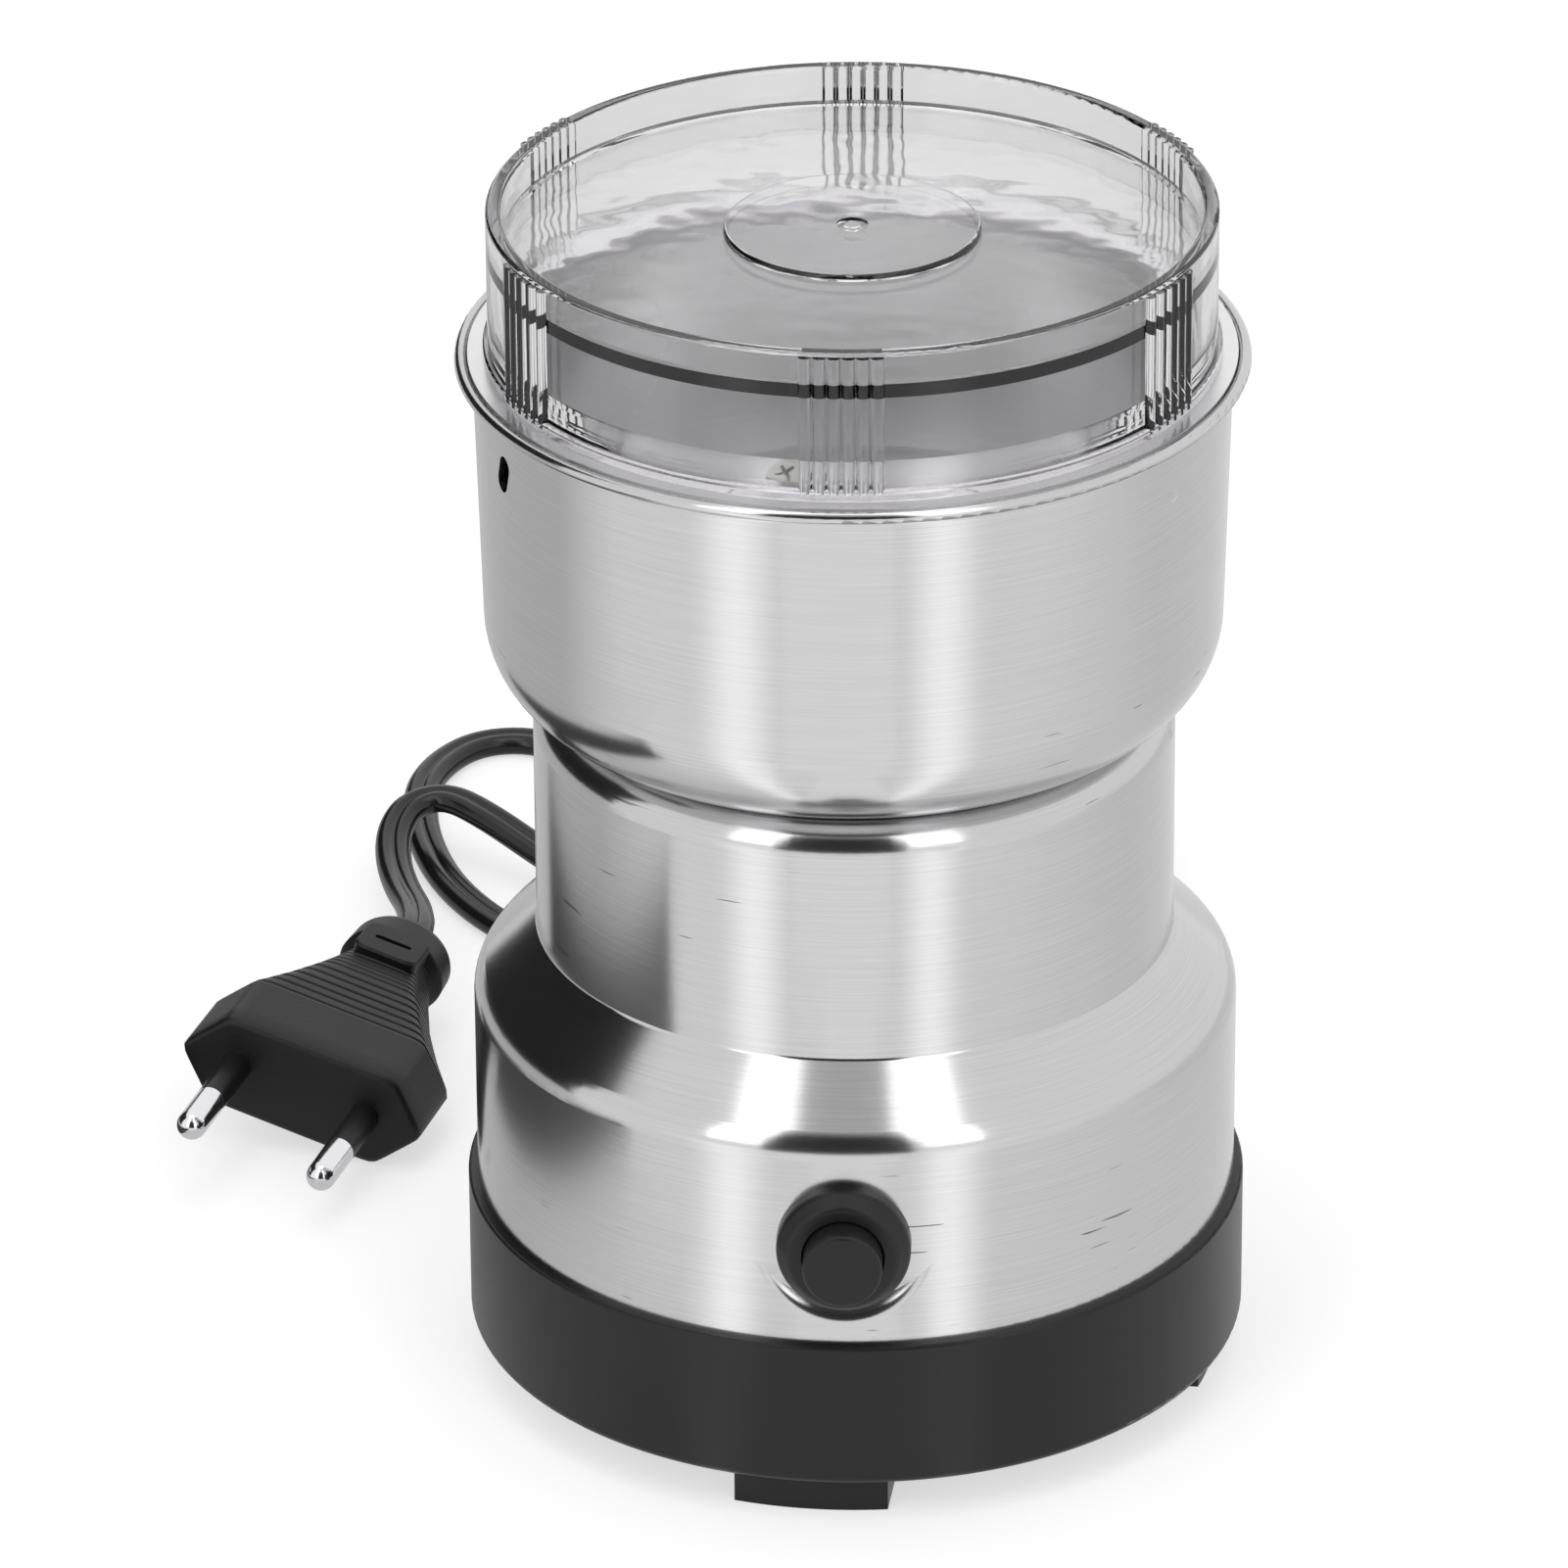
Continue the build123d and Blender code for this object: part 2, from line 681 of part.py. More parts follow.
# --- motor --------------------------------------------------------------------------------
def motor_frame():
    """Plastic frame: a plate under the neck's lip, bearing and screw bosses, and four posts."""
    inside = neck_radius - steel - frame_gap
    frame = turned([
        (0, frame_low), (inside, frame_low), (inside, frame_top, neck_edge - steel),
        (lip_radius - frame_gap, frame_top), (lip_radius - frame_gap, neck_top), (0, neck_top),
    ])
    rooted = frame_low + frame_plate / 2
    frame += rod(bush_radius + boss_wall, upper_bush_z, rooted)
    frame += placed(rod(post_radius, floor_top, rooted), post_turns, post_circle)
    frame += placed(rod(bracket_leg, stator_top, rooted), motor_screw_turns, motor_screw_circle)
    boss = rod(bowl_screw_radius + screw_boss_wall, frame_top - bowl_screw_bite, rooted)
    frame += placed(boss, bowl_screw_turns, bowl_screw_circle)
    frame -= rod(bush_radius, upper_bush_z, frame_low)
    frame -= rod(shaft_radius + bush_seat, upper_bush_z, neck_top)
    base_hole = rod(base_screw_radius + fit_gap, floor_top, floor_top + base_screw_bite + fit_gap)
    motor_hole = rod(motor_screw_radius + fit_gap, stator_top, stator_top + motor_screw_bite + fit_gap)
    bowl_hole = rod(bowl_screw_radius + fit_gap, frame_top - bowl_screw_bite, neck_top)
    frame -= placed(base_hole, post_turns, post_circle)
    frame -= placed(motor_hole, motor_screw_turns, motor_screw_circle)
    return frame - placed(bowl_hole, bowl_screw_turns, bowl_screw_circle)


def upper_bearing():
    """Sintered bush under the frame's plate."""
    return tube(bush_radius, shaft_radius + fit_gap, upper_bush_z, upper_bush_z + bush_length)


def lower_bearing():
    """Sintered bush in the lower bracket."""
    return tube(bush_radius, shaft_radius + fit_gap, lower_bush_z, lower_bush_z + bush_length)


def lower_bracket():
    """Bracket under the stator: a plate for the brushes, two legs and the lower bearing's boss."""
    plate = extrude(RectangleRounded(stator_width, stator_depth, stator_corner), bracket_thick)
    rooted = bracket_low + bracket_thick / 2
    bracket = Pos(0, 0, bracket_low) * plate
    bracket += rod(bush_radius + boss_wall, lower_bush_z - bush_seat, rooted)
    bracket += placed(rod(bracket_leg, rooted, stator_z), motor_screw_turns, motor_screw_circle)
    bracket -= rod(bush_radius, lower_bush_z, lower_bush_z + bush_length)
    bracket -= rod(shaft_radius + bush_seat, lower_bush_z, bracket_top)
    hole = rod(motor_screw_radius + fit_gap, bracket_low, stator_z)
    return bracket - placed(hole, motor_screw_turns, motor_screw_circle)


def motor_screws():
    """Two long screws through the bracket and the stator into the frame."""
    screw = pan_screw(motor_screw_radius, bracket_low, stator_top + motor_screw_bite, head_up=False)
    return placed(screw, motor_screw_turns, motor_screw_circle)


def stator_core():
    """Stack of field plates with a round bore and a slot on each side of both poles."""
    outline = RectangleRounded(stator_width, stator_depth, stator_corner)
    outline -= Circle(armature_radius + air_gap)
    slot = Rectangle(coil_thick + 2 * fit_gap, coil_width + 2 * fit_gap)
    slot_y = (pole_width + coil_width) / 2
    for side in (-1, 1):
        outline -= [Pos(side * coil_x, end * slot_y) * slot for end in (-1, 1)]
        outline -= Pos(0, side * motor_screw_circle) * Circle(motor_screw_radius + fit_gap)
    return Pos(0, 0, stator_z) * extrude(outline, stator_height)


def field_coils():
    """Two wound loops, one round each pole."""
    inner_height = stator_height + 2 * fit_gap
    loop = Rectangle(pole_width + 2 * coil_width, inner_height + 2 * coil_reach)
    loop -= Rectangle(pole_width, inner_height)
    coil = Rot(0, 0, 90) * Rot(90, 0, 0) * extrude(loop, coil_thick / 2, both=True)
    return [Pos(side * coil_x, 0, (stator_z + stator_top) / 2) * coil for side in (-1, 1)]


def thermal_fuse():
    """Thermal fuse under one field coil."""
    level = stator_z - fit_gap - coil_reach - fuse_radius
    return Pos(coil_x, 0, level) * Rot(90, 0, 0) * Cylinder(fuse_radius, fuse_length)


def carbon_brushes():
    """Two carbon brushes with their faces ground to the commutator."""
    bar = block(brush_length + fit_gap, brush_width, brush_height,
                (brush_end - (brush_length + fit_gap) / 2, 0, brush_z - brush_height / 2))
    bar -= rod(brush_start, 0, stator_z)
    return [bar, Rot(0, 0, 180) * bar]


def brush_holders():
    """Brass boxes that guide the brushes, closed at their outer ends."""
    start = commutator_radius + holder_offset
    length = brush_end + brush_spring_room + holder_wall - start
    wide, tall = brush_width + 2 * fit_gap, brush_height + 2 * fit_gap
    holder = block(length, wide + 2 * holder_wall, tall + 2 * holder_wall)
    holder -= block(length, wide, tall, (-holder_wall, 0, holder_wall))
    holder = Pos(start + length / 2, 0, bracket_top) * holder
    return [holder, Rot(0, 0, 180) * holder]


def brush_springs():
    """Springs that press the brushes onto the commutator."""
    coil = spring(brush_width / 2 - brush_spring_wire, brush_spring_wire, brush_spring_room,
                  brush_spring_coils)
    coil = Pos(brush_end, 0, brush_z) * Rot(0, 90, 0) * coil
    return [coil, Rot(0, 0, 180) * coil]


# --- rotor --------------------------------------------------------------------------------
def motor_shaft():
    """Steel shaft from the lower bearing to the blade, with a thinner threaded end."""
    shaft = rod(shaft_radius, lower_bush_z + bush_seat / 2, blade_z)
    return shaft + rod(thread_radius, blade_z, blade_top + blade_nut_height + blade_nut_dome - thread_end)


def armature_core():
    """Slotted stack of armature plates on the shaft."""
    outline = Circle(armature_radius) - Circle(shaft_radius)
    for k in range(armature_slots):
        turn = Rot(0, 0, k * 360 / armature_slots)
        outline -= turn * Pos(winding_circle, 0) * Circle(slot_radius)
        outline -= turn * Pos(armature_radius, 0) * Rectangle(2 * slot_radius, slot_radius / 2)
    return Pos(0, 0, armature_low) * extrude(outline, armature_top - armature_low)


def armature_windings():
    """Copper windings: a rounded bundle at each end of the stack, joined through its slots."""
    upper = turned([
        (winding_inner, 0), (winding_outer, 0), (winding_outer, winding_height, winding_edge),
        (winding_inner, winding_height, winding_edge),
    ])
    lower = Pos(0, 0, armature_low) * Rot(180, 0, 0) * upper
    wire = rod(slot_radius - fit_gap, armature_low - slot_radius, armature_top + slot_radius)
    turns = [k * 360 / armature_slots for k in range(armature_slots)]
    return Pos(0, 0, armature_top) * upper + lower + placed(wire, turns, winding_circle)


def commutator():
    """Copper commutator with a groove between its bars."""
    outline = Circle(commutator_radius) - Circle(shaft_radius)
    groove = Pos(commutator_radius, 0) * Rectangle(2 * bar_gap, bar_gap)
    outline -= [Rot(0, 0, k * 360 / commutator_bars) * groove for k in range(commutator_bars)]
    return Pos(0, 0, commutator_low) * extrude(outline, commutator_top - commutator_low)


def cooling_fan():
    """Plastic fan with straight blades on a thin disc."""
    fan = tube(fan_radius, shaft_radius, fan_z, fan_z + fan_disc)
    fan += tube(fan_hub, shaft_radius, fan_z, fan_z + fan_height)
    length = fan_radius - (shaft_radius + fan_hub) / 2
    vane = block(length, fan_blade_thick, fan_height, (fan_radius - length / 2, 0, fan_z))
    vane &= rod(fan_radius, fan_z, fan_z + fan_height)
    return fan + [Rot(0, 0, k * 360 / fan_blades) * vane for k in range(fan_blades)]


def blade_hub():
    """Spacer on the shaft under the blade."""
    return tube(hub_radius, shaft_radius, hub_z, blade_z)


def blade():
    """Two-winged steel blade: one wing bent up, the other bent down, tapering to the tips."""
    lower = [(-blade_radius, blade_z - blade_dip), (-blade_bend, blade_z), (blade_bend, blade_z),
             (blade_radius, blade_z + blade_rise)]
    side = Polyline(*lower, *[(x, z + blade_thick) for x, z in reversed(lower)], close=True)
    strip = extrude(make_face(Plane.XZ * side), blade_root, both=True)
    leading = blade_root / 2
    wing = [(0, -leading), (blade_bend, -leading), (blade_radius, -blade_tip / 2),
            (blade_radius - blade_tip / 4, blade_tip / 2), (blade_bend, leading - blade_thick)]
    plan = make_face(Polyline(*wing, *[(-x, -y) for x, y in wing], close=True)) - Circle(thread_radius)
    room = blade_rise + blade_dip + blade_thick
    return strip & Pos(0, 0, blade_z - blade_dip) * extrude(plan, room)


def blade_nut():
    """Domed hexagonal nut on the shaft's end."""
    body = extrude(RegularPolygon(blade_nut_radius, 6) - Circle(thread_radius), blade_nut_height)
    flat = blade_nut_radius * cos(pi / 6)
    dome_z = blade_top + blade_nut_height
    dome = turned([(thread_radius, dome_z), (flat, dome_z), (flat, dome_z + blade_nut_dome, blade_nut_edge),
                   (thread_radius, dome_z + blade_nut_dome)])
    return Pos(0, 0, blade_top) * body + dome


# --- plug ---------------------------------------------------------------------------------
def at_plug(shape):
    """Put a shape built with the pins along -Y and the face at Y = 0 where the plug lies."""
    place = Pos(plug_place[0], plug_place[1], plug_z)
    return place * Rot(0, 0, plug_turn) * Rot(0, plug_roll, 0) * shape


def plug_section(width, thick, y):
    """The plug's six-sided section at a distance from its face."""
    flat = width * plug_flat / plug_width
    half = [(width / 2, 0), (flat / 2, thick / 2), (-flat / 2, thick / 2)]
    outline = Polyline(*half, *[(-x, -z) for x, z in half], close=True)
    return Pos(0, y, 0) * make_face(Plane.XZ * outline)


def plug_grip_solid(inset):
    """The grip behind the block: it narrows to a waist and a neck, and may be set in."""
    waist = plug_block + plug_grip / 2
    sizes = [(plug_width, plug_thick, plug_block), (plug_waist_width, plug_waist_thick, waist),
             (plug_neck_width, plug_neck_thick, plug_block + plug_grip)]
    sections = [plug_section(width - 2 * inset, thick - 2 * inset, y) for width, thick, y in sizes]
    return loft(sections[:2]) + loft(sections[1:])


def plug_body():
    """Flat two-pin plug: a six-sided block, a ridged grip that tapers, and a round cord collar."""
    front = extrude(plug_section(plug_width, plug_thick, 0), plug_block, dir=(0, 1, 0))
    front = fillet(front.edges().filter_by(Axis.Y), plug_edge)
    grip, pitch = plug_grip_solid(0), plug_grip / grip_ridges
    for k in range(grip_ridges):
        grip -= Pos(0, plug_block + (k + 0.5) * pitch, 0) * Box(2 * plug_width, ridge_gap, 2 * plug_thick)
    collar = turned([
        (0, 0), (plug_collar_radius, 0, plug_collar_edge),
        (plug_collar_radius, plug_collar_thick, plug_collar_edge), (0, plug_collar_thick),
    ])
    body = front + plug_grip_solid(ridge_depth) + grip
    body += Pos(0, plug_block + plug_grip, 0) * Rot(-90, 0, 0) * collar
    hole = Rot(-90, 0, 0) * rod(pin_core, 0, pin_root)
    return at_plug(body - [Pos(side * pin_spacing / 2, 0, 0) * hole for side in (-1, 1)])


def plug_pins():
    """Two round pins with rounded ends and a thinner root inside the sleeves and the plug."""
    pin = rod(pin_radius, sleeve_length, pin_length - pin_radius)
    pin += Pos(0, 0, pin_length - pin_radius) * Sphere(pin_radius)
    pin += rod(pin_core, -pin_root, sleeve_length)
    pin = Rot(90, 0, 0) * pin
    return [at_plug(Pos(side * pin_spacing / 2, 0, 0) * pin) for side in (-1, 1)]


def pin_sleeves():
    """Insulating sleeves on the roots of the pins."""
    sleeve = Rot(90, 0, 0) * tube(pin_radius, pin_core, 0, sleeve_length)
    return [at_plug(Pos(side * pin_spacing / 2, 0, 0) * sleeve) for side in (-1, 1)]


# --- loose cord ---------------------------------------------------------------------------
def cord_lead():
    """The cord from the strain relief to the bottom layer of the coil."""
    start = [(0.0, bushing_end, exit_z), (0.0, bushing_end + exit_run, exit_z)]
    end = (coil_centre[0], coil_centre[1] + coil_radius, cord_diameter / 2)
    return round_cable(start + lead_points + [end], cord_diameter / 2)


def cord_tail():
    """The cord from the top layer of the coil to the plug's collar."""
    turn = radians(plug_turn)
    level = (coil_layers - 0.5) * cord_diameter
    start = (coil_centre[0], coil_centre[1] - coil_radius, level)
    ends = [(plug_place[0] - reach * sin(turn), plug_place[1] + reach * cos(turn), plug_z)
            for reach in (plug_end + exit_run, plug_end)]
    return round_cable([start] + tail_points + ends, cord_diameter / 2)


def cord_coil():
    """The outer shape of the coiled spare cord: a flat ring lying behind the base."""
    half = cord_diameter + coil_slack
    ring = tube(coil_radius + half, coil_radius - half, 0, coil_layers * cord_diameter + coil_slack)
    return Pos(coil_centre[0], coil_centre[1], 0) * ring


NODES = [
    base_cover, feet, base_screws, cord_bushing, cord_stub, cord_clamp, clamp_screws, mains_wires,
    steel_housing, switch_collar, collar_nut, switch_body, switch_terminals, switch_spring,
    button_cap, switch_plunger, bowl_shell, grinding_bowl, bowl_spacer, bowl_screws, shaft_seal, lid,
    motor_frame, upper_bearing, lower_bearing, lower_bracket, motor_screws, stator_core, field_coils,
    thermal_fuse, carbon_brushes, brush_holders, brush_springs, motor_shaft, armature_core,
    armature_windings, commutator, cooling_fan, blade_hub, blade, blade_nut, cord_lead, cord_coil,
    cord_tail, plug_body, plug_pins, pin_sleeves,
]


def write_nodes():
    """Build every piece and write one STEP file for each node."""
    os.makedirs("parts", exist_ok=True)
    for make in NODES:
        made = make()
        pieces = made if isinstance(made, list) else [made]
        solids = [solid for piece in pieces for solid in piece.solids()]
        shape = solids[0] if len(solids) == 1 else Compound(children=solids)
        shape.label = make.__name__
        export_step(shape, "parts/" + make.__name__ + ".step")


write_nodes()
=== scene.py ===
import json
from math import cos, pi, radians, sin

import bpy
import numpy as np
from mathutils import Matrix, Vector


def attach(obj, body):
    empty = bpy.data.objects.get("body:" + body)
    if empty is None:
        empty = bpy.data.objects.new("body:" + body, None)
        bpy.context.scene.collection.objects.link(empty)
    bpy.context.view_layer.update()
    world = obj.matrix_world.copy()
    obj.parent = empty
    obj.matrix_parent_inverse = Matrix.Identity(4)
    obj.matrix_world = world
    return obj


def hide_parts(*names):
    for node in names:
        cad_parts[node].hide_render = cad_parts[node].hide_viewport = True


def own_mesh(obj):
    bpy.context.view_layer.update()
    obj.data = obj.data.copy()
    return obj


bl_info = {
    "name": "Electric Spice Grinder",
    "version": (1, 0, 0),
    "blender": (4, 5, 0),
    "location": "3D View > Sidebar > Grinder",
    "description": "Finishes, cord and studio for an electric spice grinder",
    "category": "Object",
}

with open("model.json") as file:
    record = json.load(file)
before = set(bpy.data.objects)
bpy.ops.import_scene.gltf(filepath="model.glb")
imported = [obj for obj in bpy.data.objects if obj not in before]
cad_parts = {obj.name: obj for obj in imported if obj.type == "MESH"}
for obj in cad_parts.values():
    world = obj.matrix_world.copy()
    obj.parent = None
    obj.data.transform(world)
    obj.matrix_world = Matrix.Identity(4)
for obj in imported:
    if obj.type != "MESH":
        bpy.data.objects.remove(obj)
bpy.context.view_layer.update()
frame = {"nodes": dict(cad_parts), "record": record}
NODES = frame["nodes"]
MM = 0.001

# The cord's route in metres.  Where it lies on the floor its middle is half its thickness up.
EXIT = (0.0, 0.076, 0.0144)
REST_Z = 0.00155
LEAD_POINTS = [
    EXIT, (0.0, 0.0825, 0.0144), (-0.0018, 0.0893, 0.0128), (-0.0062, 0.0946, 0.0094),
    (-0.0128, 0.0972, 0.0058), (-0.0206, 0.0976, 0.0032), (-0.0300, 0.0984, REST_Z),
    (-0.0400, 0.1014, REST_Z), (-0.0510, 0.1075, REST_Z), (-0.0600, 0.1205, REST_Z),
    (-0.0650, 0.1355, REST_Z), (-0.0666, 0.1500, REST_Z), (-0.0646, 0.1595, REST_Z),
    (-0.0595, 0.1670, REST_Z), (-0.0515, 0.1685, REST_Z), (-0.0435, 0.1630, REST_Z),
    (-0.0325, 0.1580, REST_Z), (-0.0200, 0.1575, REST_Z), (-0.0070, 0.1590, REST_Z),
]
TAIL_POINTS = [
    (-0.0060, 0.1033, 0.0074), (-0.0170, 0.1055, 0.0046), (-0.0285, 0.1105, 0.0026),
    (-0.0385, 0.1175, 0.0028), (-0.0475, 0.1250, 0.0052), (-0.0555, 0.1310, 0.0080),
    (-0.0615, 0.1362, 0.0086), (-0.0666, 0.1345, 0.0080), (-0.0686, 0.1280, 0.0070),
    (-0.0681, 0.1195, 0.0064), (-0.0662, 0.1105, 0.0068), (-0.0638, 0.1015, 0.0084),
    (-0.0628, 0.0925, 0.00972), (-0.06404, 0.08625, 0.00972),
]
COIL_CENTRE = (0.006, 0.131)
COIL_TURNS = 2.5
COIL_POINTS_PER_TURN = 14
COIL_LEVELS = (1, 2)
CLIMB_LEAD = 0.30
CLIMB_RUN = 0.16

# Where the plug lies, in metres.
PLUG_PLACE = (-0.0754, 0.0453, 0.00972)
PLUG_TURN = radians(-15.5)
PLUG_ROLL = radians(15.0)

# The plug's shape in millimetres, along its length from the face with the pins.  A section has its
# place, half width and half thickness; a corner has its place, crispness and share of flat width.
PLUG_SIDES = 120
PLUG_SECTIONS = [
    (0, 17.65, 6.85), (12, 17.6, 6.8), (18, 13.9, 6.35), (24, 10.7, 5.85), (30, 8.4, 5.3),
    (35.2, 6.9, 4.8), (36.4, 8.6, 6.3), (40.6, 8.5, 6.2), (42.42, 7.7, 5.5),
]
PLUG_CORNERS = [(0, 26, 0.68), (12, 24, 0.68), (24, 14, 0.62), (36, 5, 0.5), (42, 4, 0.5)]
PLUG_RINGS = [
    [0, 0.12, 0.4, 0.9, 4, 8, 11.4, 11.8], np.linspace(12, 35.4, 196), np.linspace(35.6, 42.3, 26),
    [42.42],
]
FACE_EDGE = 0.9
TAIL_EDGE = 1.1
TAIL_EDGE_START = 41.2
TAIL_EDGE_RUN = 1.25
COARSE_START, FINE_START, GRIP_END = 12, 24, 34.6
COARSE_PITCH, FINE_PITCH = 2.0, 1.2
COARSE_DEPTH, FINE_DEPTH = 0.50, 0.32
GRIP_LEAD = 0.1
GRIP_FADE = 8

# The tab on the plug: each ring has its half width, half length and height.
TAB_POINTS = 64
TAB_CENTRE = 33.0
TAB_SQUARENESS = 0.3
TAB_RINGS = [
    (4.6, 3.6, 3.0), (4.6, 3.6, 6.2), (4.3, 3.3, 6.55), (2.6, 0.42, 6.6), (2.55, 0.36, 5.8),
]

# Places on the grinder that its finishes follow, in metres.
BUTTON_Z = 0.0393
RIM_INNER, RIM_OUTER = 0.0078, 0.0116
RIM_FADE_LOW, RIM_FADE_HIGH = BUTTON_Z - 0.0085, BUTTON_Z - 0.0030
RIM_DEPTH = 0.0013
WEAR_TOP = 0.108
PLATE_RADIUS = 0.0425
LID_FOOT_TOP = 0.1405

# The stage.
ROOM_REACH = 6.0
PAPER_GREY = 0.60
PAPER_GLOW = 0.62
LAMP_AIM = (0.0, 0.0, 0.08)
CARD_DISTANCE = 1.15
BAND_STEPS = 17
BAND_HEIGHT = 0.0006
BAND_START = 0.004


# --- sizes and colours that a user would change --------------------------------------------
class GrinderSizes(bpy.types.PropertyGroup):
    """Sizes of the cord and its coil."""

    cord_width: bpy.props.FloatProperty(
        name="Cord width", description="Width of the flat twin cord", default=0.005, unit="LENGTH")
    cord_thick: bpy.props.FloatProperty(
        name="Cord thickness", description="Thickness of the flat twin cord", default=0.003, unit="LENGTH")
    cord_length: bpy.props.FloatProperty(
        name="Cord length", description="Length of the free cord", default=0.77, unit="LENGTH")
    coil_radius: bpy.props.FloatProperty(
        name="Coil radius", description="Mean radius of the coiled cord", default=0.0279, unit="LENGTH")
    coil_spread: bpy.props.FloatProperty(
        name="Coil spread", description="How far loose turns stray from the mean", default=0.0017,
        unit="LENGTH")
    coil_rise: bpy.props.FloatProperty(
        name="Coil rise", description="Height from one turn to the next", default=0.0031, unit="LENGTH")


class GrinderColours(bpy.types.PropertyGroup):
    """Colours of the finishes."""

    steel: bpy.props.FloatVectorProperty(
        name="Steel", description="Brushed stainless steel", default=(0.575, 0.575, 0.58),
        subtype="COLOR", size=3)
    black_plastic: bpy.props.FloatVectorProperty(
        name="Black plastic", description="Base ring, button and bezel", default=(0.014, 0.014, 0.0145),
        subtype="COLOR", size=3)
    rubber: bpy.props.FloatVectorProperty(
        name="Cord black", description="Cord, plug and feet", default=(0.010, 0.010, 0.0105),
        subtype="COLOR", size=3)
    clear: bpy.props.FloatVectorProperty(
        name="Lid tint", description="Tint of the clear lid", default=(0.68, 0.678, 0.685),
        subtype="COLOR", size=3)


class StageSettings(bpy.types.PropertyGroup):
    """Camera and studio."""

    target_height: bpy.props.FloatProperty(
        name="Target height", description="Height of the point that the camera looks at", default=0.079,
        unit="LENGTH")
    distance: bpy.props.FloatProperty(
        name="Distance", description="From the target to the camera", default=1.4, unit="LENGTH")
    azimuth: bpy.props.FloatProperty(
        name="Azimuth", description="Camera's turn round the grinder", default=radians(1.8),
        subtype="ANGLE")
    pitch: bpy.props.FloatProperty(
        name="Pitch", description="Camera's height above the horizon", default=radians(26.51),
        subtype="ANGLE")
    roll: bpy.props.FloatProperty(
        name="Roll", description="Camera's turn about its own axis", default=radians(-0.207),
        subtype="ANGLE")
    lens: bpy.props.FloatProperty(
        name="Lens", description="Focal length in millimetres", default=254.07)
    shift: bpy.props.FloatProperty(
        name="Shift", description="Sideways shift of the frame", default=-0.0449)
    fill: bpy.props.FloatProperty(
        name="Fill light", description="Strength of the room's light on the grinder", default=0.55)


def sizes():
    return bpy.context.scene.grinder_sizes


def colours():
    return bpy.context.scene.grinder_colours


def stage():
    return bpy.context.scene.grinder_stage


# --- shared mesh code -----------------------------------------------------------------------
def grid_faces(rows, columns, close_rows=False, close_columns=True):
    """Quads over a grid of points in row order, wrapped round where a direction is closed."""
    r = np.arange(rows if close_rows else rows - 1)
    c = np.arange(columns if close_columns else columns - 1)
    r, c = (a.ravel() for a in np.meshgrid(r, c, indexing="ij"))
    r_next, c_next = (r + 1) % rows, (c + 1) % columns
    corners = (r * columns + c, r * columns + c_next, r_next * columns + c_next, r_next * columns + c)
    return np.stack(corners, axis=1)


def make_mesh(name, points, quads, material, smooth=True, ends=()):
    """A mesh object at the origin from points, quads and end caps given as rings of indices."""
    mesh = bpy.data.meshes.new(name)
    faces = quads.tolist() + [list(map(int, ring)) for ring in ends]
    mesh.from_pydata(points.tolist(), [], faces)
    mesh.polygons.foreach_set("use_smooth", np.full(len(mesh.polygons), smooth))
    mesh.materials.append(material)
    mesh.update()
    piece = bpy.data.objects.new(name, mesh)
    bpy.context.scene.collection.objects.link(piece)
    return piece


